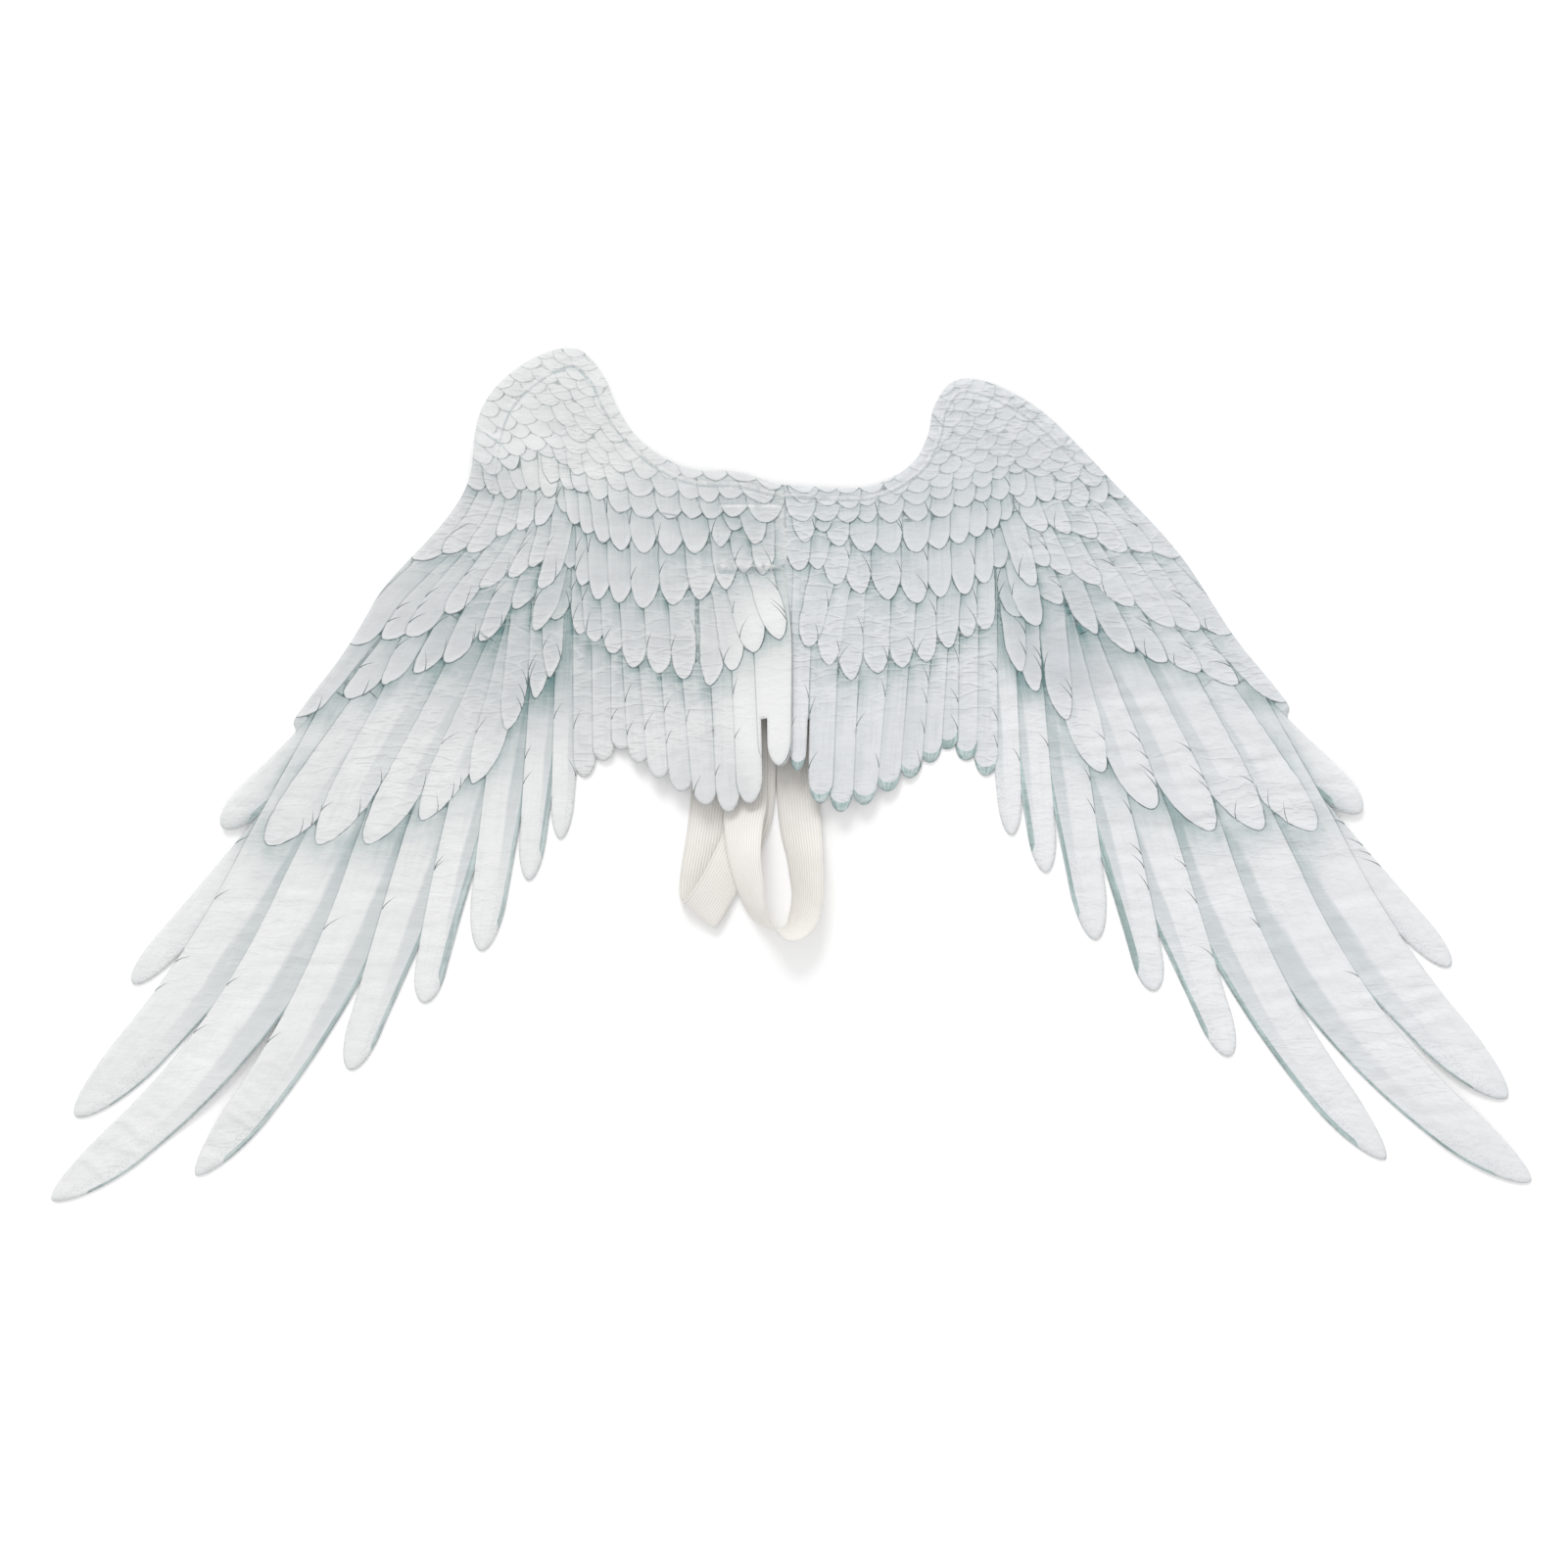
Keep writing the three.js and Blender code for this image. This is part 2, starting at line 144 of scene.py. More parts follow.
# printed rows of coverts, lowest row first, each by its tips from the seam outwards;
# long runs from the first feather to the last, and reaches under the row above
covertColumns = ("name", "long", "wide", "taper", "band", "vane", "depth", "line", "hairs", "skew",
                 "tips")
covertRows = [
    ("primaryCoverts", (84, 200), 0.98, 1.6, 0.9, 0.75, 1.0, 0.9, 3.6, 0.12, [
        (166, -132), (177, -146), (198, -166), (223, -204), (260, -230), (301, -246), (336, -246),
        (374, -246)]),
    ("lowerArm", (84, 62), 1.02, 1.1, 0.3, 0.15, 0.9, 1.0, 1.6, 0.06, [
        (15, -114), (30, -127), (46, -138), (65, -133), (82, -129), (100, -125), (115, -115),
        (129, -107), (142, -102), (163, -93)]),
    ("lowerHand", (74, 110), 0.92, 1.4, 0.5, 0.3, 1.0, 1.0, 3.0, 0.2, [
        (176, -100), (193, -85), (219, -106), (245, -120), (268, -127), (292, -134), (319, -143),
        (356, -155)]),
    ("middleArm", (60, 56), 1.06, 1.0, 0.25, 0.1, 0.8, 1.0, 1.2, 0.06, [
        (9, -60), (22, -59), (35, -70), (53, -77), (72, -81), (93, -83), (110, -79), (127, -77),
        (141, -69), (152, -58)]),
    ("middleHand", (60, 92), 0.98, 1.25, 0.35, 0.15, 0.9, 1.0, 2.2, 0.2, [
        (174, -72), (184, -58), (200, -64), (221, -71), (245, -87), (274, -102), (292, -104),
        (315, -107)]),
    ("upperArm", (46, 44), 1.1, 0.85, 0.2, 0.05, 0.65, 0.95, 0.6, 0.05, [
        (14, -40), (27, -33), (38, -43), (56, -47), (74, -48), (92, -47), (109, -45), (123, -41),
        (136, -36), (147, -31), (157, -24), (164, -18)]),
    ("upperHand", (56, 80), 1.02, 1.05, 0.25, 0.05, 0.75, 0.9, 1.2, 0.18, [
        (182, -33), (200, -35), (219, -38), (240, -48), (258, -48), (278, -52)]),
    ("scalesLow", (30, 34), 1.2, 0.6, 0.1, 0.0, 0.44, 0.75, 0.2, 0.05, [
        (11, -25), (29, -25), (44, -26), (58, -26), (74, -26), (93, -25), (110, -22), (125, -15),
        (140, -11), (152, -10), (166, -7), (173, -15), (187, -11), (199, -10), (212, -15), (225, -12),
        (239, -9)]),
    ("scalesNeck", (26, 26), 1.2, 0.52, 0.1, 0.0, 0.32, 0.62, 0.15, 0.05, [
        (14, -12), (31, -14), (45, -16), (58, -14), (74, -13), (93, -13), (109, -9), (125, -3),
        (140, -1), (152, 5), (166, 9), (184, 7), (203, 3), (221, 0)]),
]
# limits of a covert's width, its root's width, the spread of its shape, and the wobble of its edge
covertShape = {"least": 16, "most": 36, "root": 1.12, "vary": (0.95, 1.1), "turn": (-3, 3), "bow": (-1, 1),
               "taper": (0.9, 1.15), "power": (1.65, 2.05), "wobble": 0.4, "wobbleSize": 4,
               "shiftOut": (175, 110)}    # where a panel's own shift of its print sets in
# scales over the wrist: rows that repeat upwards from the neck row, level past the wrist's middle
wristScales = {"rows": 12, "step": 8.3, "pitch": 16.2, "wide": 19.5, "long": 24, "from": 4, "to": 240,
               "low": -14, "slope": 0.36, "slopeFrom": 98, "slopeRun": 55, "fall": 0.1,
               "taper": 0.46, "band": 0.1, "vane": 0.2, "depth": 0.2, "line": 0.46, "hairs": 0.08,
               "skew": 0.05, "inset": 3, "jitterOut": (-1.5, 1.5), "jitterUp": (-1, 1)}
lookKeys = ("band", "vane", "depth", "line", "hairs", "skew")

# the cloth lies flat but for a low rise over the stacked straps
rise = {"x": (-78, 30), "y": 192, "high": 5.5, "edge": 7, "edgeY": (80, -10), "ramp": 76}
foldColumns = ("wing", "at", "turn", "long", "wide", "high")
foldRows = [
    ("left_wing", (196, 16), -4, 62, 34, 5),
    ("left_wing", (150, 66), 30, 58, 40, 4),
    ("left_wing", (392, -225), -42, 48, 34, 5),
    ("left_wing", (392, -420), -55, 80, 36, 4),
    ("right_wing", (150, 52), -24, 66, 38, 4),
    ("right_wing", (395, -214), -42, 52, 36, 5),
    ("right_wing", (478, -440), -48, 84, 34, 4),
]
# creased patches: centre, half sizes, direction of the creases, their pitch and height
creaseColumns = ("wing", "at", "long", "wide", "turn", "pitch", "high")
creaseRows = [
    ("right_wing", (330, -230), 150, 150, 4, 12.0, 1.0),
    ("right_wing", (230, -120), 110, 110, 2, 12.0, 0.7),
    ("right_wing", (420, -380), 150, 110, 8, 13.0, 0.9),
    ("left_wing", (190, 0), 70, 46, 4, 11.0, 1.2),
    ("left_wing", (120, -30), 110, 70, -3, 12.0, 0.6),
    ("left_wing", (400, -452), 34, 62, 36, 12.0, 2.4),
    ("left_wing", (492, -466), 34, 56, 46, 13.0, 1.9),
    ("left_wing", (440, -440), 120, 70, 30, 13.0, 0.6),
    ("left_wing", (330, -240), 150, 150, 0, 12.0, 0.5),
]


def ramp(value, a, b):
    # smooth step from 0 at a to 1 at b, in either direction
    t = np.clip((value - a) / (b - a), 0, 1)
    return t * t * (3 - 2 * t)


def table(columns, rows):
    return [dict(zip(columns, row)) for row in rows]


def splinePoints(knots, perSpan):
    # uniform Catmull-Rom curve through the knots, with its end knots repeated
    k = np.array([knots[0], *knots, knots[-1]], float)
    t = np.arange(perSpan * (len(knots) - 1) + 1) / perSpan
    i = np.minimum(t.astype(int), len(knots) - 2)
    f = (t - i)[:, None]
    a, b, c, d = k[i], k[i + 1], k[i + 2], k[i + 3]
    return 0.5 * (2 * b + (c - a) * f + (2 * a - 5 * b + 4 * c - d) * f**2
                  + (3 * b - a - 3 * c + d) * f**3)


# where each part of the lying shape sets in, from and to, in the pattern frame
drape = {"wristOut": (0, 35), "wristUp": (-90, 76), "drawTop": (70, -10), "drawLow": (-600, -100),
         "drawAlong": (60, 230), "drawSlope": 0.75, "pinchOut": (140, 250), "leanOut": (24, 6),
         "leanUp": (-63, -120), "dropOut": (130, 215), "dropUp": (-60, -160), "droopOut": (110, 210),
         "flapOut": (44, 6), "flapUp": (-69, -112)}


def place(wing, out, up):
    # pattern point to X and Y: the wrist reaches out, the outer edge is drawn in and pinched,
    # the tip droops about the top of the seam, and the left panel is mirrored
    d = drape
    wrist = ramp(out, *d["wristOut"]) * ramp(up, *d["wristUp"])
    drawn = ramp(up, *d["drawTop"]) * ramp(up, *d["drawLow"])
    drawn = drawn * ramp(out + d["drawSlope"] * up, *d["drawAlong"])
    pinched = np.maximum(0, 1 - ((up - panel["pinchUp"]) / panel["pinchHalf"])**2)**2
    pinched = pinched * ramp(out, *d["pinchOut"])
    over = ramp(out, *d["leanOut"]) * ramp(up, *d["leanUp"])
    o = (out + wing["reach"][0] * wrist**2 - wing["draw"] * drawn - wing["pinch"] * pinched
         - wing["lean"] * over)
    u = up + wing["reach"][1] * wrist - wing["drop"] * ramp(out, *d["dropOut"]) * ramp(up, *d["dropUp"])
    turn = math.radians(wing["droop"]) * ramp(out, *d["droopOut"])
    x = o * np.cos(turn) + u * np.sin(turn)
    y = u * np.cos(turn) - o * np.sin(turn)
    return panel["seamX"] + wing["side"] * x, panel["neckY"] + y


def clothBack(wing, x, y):
    # height of the panel's back: a plateau over the straps, a lifted inner flap and soft folds
    flat = (ramp(x, rise["x"][0] - rise["ramp"], rise["x"][0])
            * ramp(x, rise["x"][1] + rise["ramp"], rise["x"][1])
            * ramp(y, rise["y"] + rise["ramp"], rise["y"]))
    z = flat * (rise["high"] + rise["edge"] * ramp(y, *rise["edgeY"]))
    out = wing["side"] * (x - panel["seamX"])
    up = y - panel["neckY"]
    z = z + wing["flap"] * ramp(out, *drape["flapOut"]) * ramp(up, *drape["flapUp"])
    for fold in table(foldColumns, foldRows):
        if fold["wing"] == wing["name"]:
            z = z + fold["high"] * patchFade(fold, out, up)[0]**2
    return z


def patchFade(patch, out, up):
    # 1 at the middle of a turned oval patch, 0 from its border on, and the place along and across it
    turn = math.radians(patch.get("turn", 0))
    dx, dy = out - patch["at"][0], up - patch["at"][1]
    a = dx * math.cos(turn) + dy * math.sin(turn)
    b = dy * math.cos(turn) - dx * math.sin(turn)
    return np.maximum(0, 1 - (a / patch["long"])**2 - (b / patch["wide"])**2), a, b


def softNoise(x, y, seed):
    # value noise from -1 to 1: hashed corner values of a unit grid, smoothly blended
    def corner(i, j):
        h = np.sin(i * 127.1 + j * 311.7 + seed * 74.7) * 43758.5453
        return 2 * (h - np.floor(h)) - 1
    i, j = np.floor(x), np.floor(y)
    u, v = ramp(x - i, 0, 1), ramp(y - j, 0, 1)
    low = corner(i, j) * (1 - u) + corner(i + 1, j) * u
    high = corner(i, j + 1) * (1 - u) + corner(i + 1, j + 1) * u
    return low * (1 - v) + high * v


# sway of the creases' lines, their length, how much lower their tops are, and the fade at the border
crease = {"sway": 6, "swayLong": (60, 40), "long": 34, "sharp": 0.3, "fade": 0.7}


def creases(wing, out, up):
    # long shallow ripples: noise drawn out along each patch's direction, faded at its border
    z = np.zeros_like(out)
    for n, patch in enumerate(table(creaseColumns, creaseRows)):
        if patch["wing"] == wing["name"]:
            fade, a, b = patchFade(patch, out, up)
            b = b + crease["sway"] * softNoise(a / crease["swayLong"][0], b / crease["swayLong"][1], n)
            ripple = softNoise(a / crease["long"], 2 * b / patch["pitch"], n + 20)
            z = z + patch["high"] * fade**crease["fade"] * (ripple - crease["sharp"] * np.abs(ripple))
    return z


def nearestSegment(points, a, b):
    # distance from each point to the nearest of the segments from a to b, and which one that is
    d = b - a
    w = points[:, None, :] - a[None]
    t = np.clip((w * d).sum(2) / np.maximum((d * d).sum(1), 1e-12), 0, 1)
    squared = ((w - t[:, :, None] * d)**2).sum(2)
    nearest = squared.argmin(1)
    return np.sqrt(squared[np.arange(len(points)), nearest]), nearest


def segmentDistance(points, line):
    return nearestSegment(points, line[:-1], line[1:])[0]


def insidePolygon(points, ring):
    # even-odd rule: how many edges a ray towards +out crosses
    a, b = ring, np.roll(ring, -1, 0)
    y = points[:, 1, None]
    span = (a[:, 1] > y) != (b[:, 1] > y)
    with np.errstate(divide="ignore", invalid="ignore"):
        cross = a[:, 0] + (y - a[:, 1]) * (b[:, 0] - a[:, 0]) / (b[:, 1] - a[:, 1])
    return (span & (points[:, 0, None] < cross)).sum(1) % 2 == 1


def halfWidth(f, back):
    # half width at a distance back from the tip: a superellipse, then straight sides
    end = np.clip(1 - np.clip(1 - back / f["taper"], 0, 1)**f["power"], 0, 1)**(1 / f["power"])
    share = np.clip((back - f["taper"]) / (f["length"] - f["taper"]), 0, 1)
    return 0.5 * end * (f["wide"] + (f["rootWide"] - f["wide"]) * share)


def bend(f, back):
    # sideways place of a feather's middle line: a bow, straight above the root, and a tip pulled out
    share = 1 - back / f["length"]
    bow = 4 * f["bow"] * share * (1 - np.maximum(share, 0))
    return bow - f["skew"] * f["wide"] * np.clip(1 - back / f["taper"], 0, 1)**2


def edgeAt(f, back, side):
    # points on a feather's edge: the bent middle line, moved square to its heading by the half width
    share = 1 - back / f["length"]
    bent = bend(f, back)
    middle = f["root"] + np.outer(share * f["length"], f["along"]) + np.outer(bent, f["inward"])
    slope = 4 * f["bow"] * (1 - 2 * np.maximum(share, 0)) / f["length"]
    heading = f["along"] + np.outer(slope, f["inward"])
    heading /= np.linalg.norm(heading, axis=1)[:, None]
    aside = np.c_[heading[:, 1], -heading[:, 0]]
    return middle + aside * (side * halfWidth(f, back))[:, None], heading, aside


def makeFeather(root, tip, bow, wide, rootWide, taper, power, extend=0, **look):
    f = dict(root=np.array(root, float), bow=bow, wide=wide, rootWide=rootWide, taper=taper,
             power=power, seed=rng.random(), **look)
    run = np.array(tip, float) - f["root"]
    f["length"] = np.hypot(*run)
    f["along"] = run / f["length"]
    f["inward"] = np.array([f["along"][1], -f["along"][0]])
    # outline from the inner root over the tip to the outer root
    tipCount = max(8, int(taper / panel["cell"]) + 4)
    sideCount = 2 + int((f["length"] - taper) / panel["outline"])
    back = np.concatenate([taper * (1 - np.cos(np.linspace(0, np.pi / 2, tipCount)[:-1])),
                           np.linspace(taper, f["length"], sideCount)])
    if extend:
        more = np.arange(1, 1 + int(extend / flight["rootStep"])) * flight["rootStep"]
        back = np.append(back, f["length"] + more)
    f["outline"] = np.concatenate([edgeAt(f, back, 1)[0][::-1], edgeAt(f, back, -1)[0][1:]])
    # the drawn line is boldest on the inner half of the tip and thins out along the sides
    along = np.concatenate([-back[::-1], back[1:]])
    tipEnd = lines["tip"] * wide
    tipLine = np.interp(along, (-tipEnd, tipEnd), (lines["inner"], lines["outer"]))
    sideLine = lines["side"] * min(1, lines["tip"] * f["length"] / wide)
    weight = f["line"] * np.interp(f["seed"], (0, 1), lines["vary"])
    share = ramp(np.abs(along), lines["fade"] * wide, tipEnd)
    f["lineAt"] = weight * (sideLine + (tipLine - sideLine) * share)
    return f


# direction of the feathers: centre of the fan, where it sets in, the lean beside the seam, and how far
# the scales follow it
fan = {"at": (115, 112), "slope": 0.4, "from": (95, 165), "lean": 15, "leanOut": (60, 5),
       "leanUp": (-40, -115), "scales": 0.5, "wrist": 0.3}


def featherTurn(out, up):
    # degrees from straight down: fanned about the wrist over the hand, leaning in beside the seam
    turn = np.degrees(np.arctan2(out - fan["at"][0], fan["at"][1] - up))
    turn = turn * ramp(out + fan["slope"] * up, *fan["from"])
    return turn - fan["lean"] * ramp(out, *fan["leanOut"]) * ramp(up, *fan["leanUp"])


def covert(tip, wide, long, taper, turn, **look):
    # a printed covert: straight sides, round tip, root hidden under the row above, edge a little uneven
    c = covertShape
    turn = math.radians(turn + rng.uniform(*c["turn"]))
    root = np.array(tip) - long * np.array([math.sin(turn), -math.cos(turn)])
    f = makeFeather(root, tip, rng.uniform(*c["bow"]), wide, wide * c["root"],
                    wide * taper * rng.uniform(*c["taper"]), rng.uniform(*c["power"]), **look)
    at = f["outline"].T / c["wobbleSize"]
    seed = f["seed"] * 50
    f["outline"] = f["outline"] + c["wobble"] * np.c_[softNoise(*at, seed), softNoise(*at, seed + 9)]
    return f


def rowOfCoverts(row, wing):
    # widths follow the spacing of neighbouring tips, measured square to the feathers
    tips = np.array(wing["first"].get(row["name"], []) + row["tips"], float)
    tips += np.outer(ramp(tips[:, 0], *covertShape["shiftOut"]), wing["shift"])
    turn = featherTurn(*tips.T)
    if "scales" in row["name"]:
        turn = turn * fan["scales"] + wing["scaleLean"]
    square = np.c_[np.cos(np.radians(turn)), np.sin(np.radians(turn))]
    wide = np.abs((np.gradient(tips, axis=0) * square).sum(1)) * row["wide"]
    wide = np.clip(wide, covertShape["least"], covertShape["most"])
    wide = wide * rng.uniform(*covertShape["vary"], len(tips))
    long = np.linspace(*row["long"], len(tips))
    look = {key: row[key] for key in lookKeys}
    made = [covert(tips[i], wide[i], long[i], row["taper"], turn[i], row=row["name"], **look)
            for i in range(len(tips))]
    return made[::-1]


def layFeathers(body, wing):
    # every feather of one panel, from the lowest layer to the top one
    feathers = []
    for n, row in enumerate(table(flightColumns, [*flightRows, wing["inner"]])):
        kind = "long" if n < flight["white"] else "short" if n < len(flightRows) else "inner"
        reach = flight["reach"] + flight["more"].get(n, 0)
        teal = 0 if kind == "long" else wing["tealTip"]
        feathers.append(makeFeather(**row, extend=reach, row="flight", depth=1.0, skew=0, tealTip=teal,
                                    strip=flight["strip"].get(n, 0), **flightLook[kind]))
    for row in table(flightColumns, wing["printed"]):
        feathers.append(makeFeather(**row, row="flight", depth=1.0, skew=0, **flightLook["inner"]))
    for row in table(covertColumns, covertRows):
        feathers += rowOfCoverts(row, wing)
    w = wristScales
    for k in range(1, w["rows"]):
        outs = np.arange(w["from"] + w["pitch"] * 0.5 * (k % 2), w["to"], w["pitch"])
        outs = outs + rng.uniform(*w["jitterOut"], len(outs))
        ups = (w["low"] + w["slope"] * np.clip(outs - w["slopeFrom"], 0, w["slopeRun"])
               - w["fall"] * np.maximum(0, outs - w["slopeFrom"] - w["slopeRun"])
               + w["step"] * k + rng.uniform(*w["jitterUp"], len(outs)))
        keep = insidePolygon(np.c_[outs, ups - w["inset"]], body)
        for out, up in zip(outs[keep][::-1], ups[keep][::-1]):
            turn = fan["wrist"] * featherTurn(out, up) + wing["scaleLean"]
            look = {key: w[key] for key in lookKeys}
            feathers.append(covert((out, up), w["wide"], w["long"], w["taper"], turn, row=k, **look))
    return feathers


def hairStrokes(feathers):
    # slender pointed strokes that leave a feather's edge and bend inwards towards its root, kept where
    # no feather lies over them; with each the number of its feather
    strokes, owners = [], []
    t = np.linspace(0, 1, hair["points"])
    for n, f in enumerate(feathers):
        low = hair["whiteFrom"] * f["length"] if f["vane"] == 1 else hair["from"] * f["wide"]
        reach = min(hair["covertReach"] * f["wide"], hair["covertMost"] * f["length"])
        if f["row"] == "flight":
            reach = hair["flightTo"] * f["length"] - low
        count = min(rng.poisson(f["hairs"]), int(reach / hair["apart"]))
        back = low + (np.arange(count) + rng.uniform(0, 1, count)) / max(count, 1) * reach
        first = n == 0 or feathers[n - 1]["row"] != f["row"]
        side = np.where(rng.random(count) < (0 if first else hair["outer"]), -1.0, 1.0)
        start, heading, aside = edgeAt(f, back, side)
        long = rng.uniform(*hair["long"], count)
        lean = np.radians(rng.uniform(*hair["lean"], count))
        for i in range(count):
            run = np.outer(t * long[i] * math.cos(lean[i]), -heading[i])
            inwards = side[i] * long[i] * math.sin(lean[i]) * t**hair["curve"]
            line = start[i] + run - np.outer(inwards, aside[i])
            if any(insidePolygon(line[[0, 2]], g["outline"]).any() for g in feathers[n + 1:]
                   if (g["outline"].min(0) < line[0]).all() and (g["outline"].max(0) > line[0]).all()):
                continue
            thick = np.outer(0.5 * hair["wide"] * (1 - t)**hair["point"], aside[i])
            ring = np.concatenate([line - thick, (line + thick)[-2::-1]])
            strokes.append(ring)      # anticlockwise, as the triangulation wants it
            owners.append(n)
    return strokes, owners


def resample(line, step):
    # the same polyline, each segment cut into equal parts no longer than step
    d = np.linalg.norm(np.diff(line, axis=0), axis=1)
    n = np.maximum(1, np.ceil(d / step)).astype(int)
    i = np.repeat(np.arange(len(n)), n)
    share = (np.arange(n.sum()) - np.repeat(np.cumsum(n) - n, n)) / n[i]
    return np.concatenate([line[i] + (line[i + 1] - line[i]) * share[:, None], line[-1:]])


def bodyOutline(wing):
    # anticlockwise ring: down the inner edge, out under the flight feathers, back over the wrist
    lap = wing["lap"]
    inner = [(panel["seamGap"] / 2, -panel["sewn"]), (-lap, -wing["lapFrom"]), (-lap, -panel["flapLow"])]
    top = splinePoints(leadingEdge, 6)[::-1]
    ring = np.concatenate([inner, underEdge[::-1], top])
    return resample(np.concatenate([ring, ring[:1]]), panel["outline"])[:-1]


def lattice(shapes):
    # staggered grid of points over the shapes' common box
    step = panel["cell"]
    low, high = np.min([s.min(0) for s in shapes], 0), np.max([s.max(0) for s in shapes], 0)
    rows = np.arange(low[1], high[1], step * panel["rowStep"])
    cols = np.arange(low[0], high[0], step)
    grid = np.stack(np.meshgrid(cols, rows), 2)
    grid[1::2, :, 0] += step / 2
    return grid.reshape(-1, 2)


def nearBox(points, ring, margin):
    low, high = ring.min(0) - margin, ring.max(0) + margin
    return np.flatnonzero(((points > low) & (points < high)).all(1))


def cutPanel(wing):
    # one panel as triangles in the pattern frame: the outlines of the body, of every feather and of the
    # hair strokes are edges of the triangulation; each triangle knows the top feather over it and
    # whether a stroke of that feather covers it
    body = bodyOutline(wing)
    feathers = layFeathers(body, wing)
    strokes, strokeOwners = hairStrokes(feathers)
    flights = len(flightRows) + 1
    cuts = [body] + [f["outline"] for f in feathers[:flights]]
    shapes = [body] + [f["outline"] for f in feathers] + strokes
    grid = lattice(cuts)
    inside = np.zeros(len(grid), bool)
    for ring in cuts:
        near = nearBox(grid, ring, 0)
        inside[near] |= insidePolygon(grid[near], ring)
    grid = grid[inside]
    clear = np.ones(len(grid), bool)
    for ring in shapes:
        near = nearBox(grid, ring, 1)
        closed = np.concatenate([ring, ring[:1]])
        clear[near] &= segmentDistance(grid[near], closed) > panel["free"] * panel["cell"]
    grid = grid[clear]
    points = np.concatenate(shapes + [grid])
    starts = np.cumsum([0] + [len(s) for s in shapes])
    faces = [list(range(a, a + len(s))) for a, s in zip(starts, shapes)]
    found = delaunay_2d_cdt([Vector(p) for p in points.tolist()], [], faces, 1, panel["weld"])
    spots = np.array([v[:] for v in found[0]])
    triangles = np.array([f[:] for f in found[2]])
    onPanel = np.array([min(ids, default=flights + 1) <= flights for ids in found[5]])
    last = len(feathers)
    owner = np.array([max((i for i in ids if i <= last), default=0) for ids in found[5]]) - 1
    inked = np.array([any(i > last and strokeOwners[i - last - 1] == top for i in ids)
                      for ids, top in zip(found[5], owner)])
    return spots, triangles[onPanel], owner[onPanel], inked[onPanel], feathers


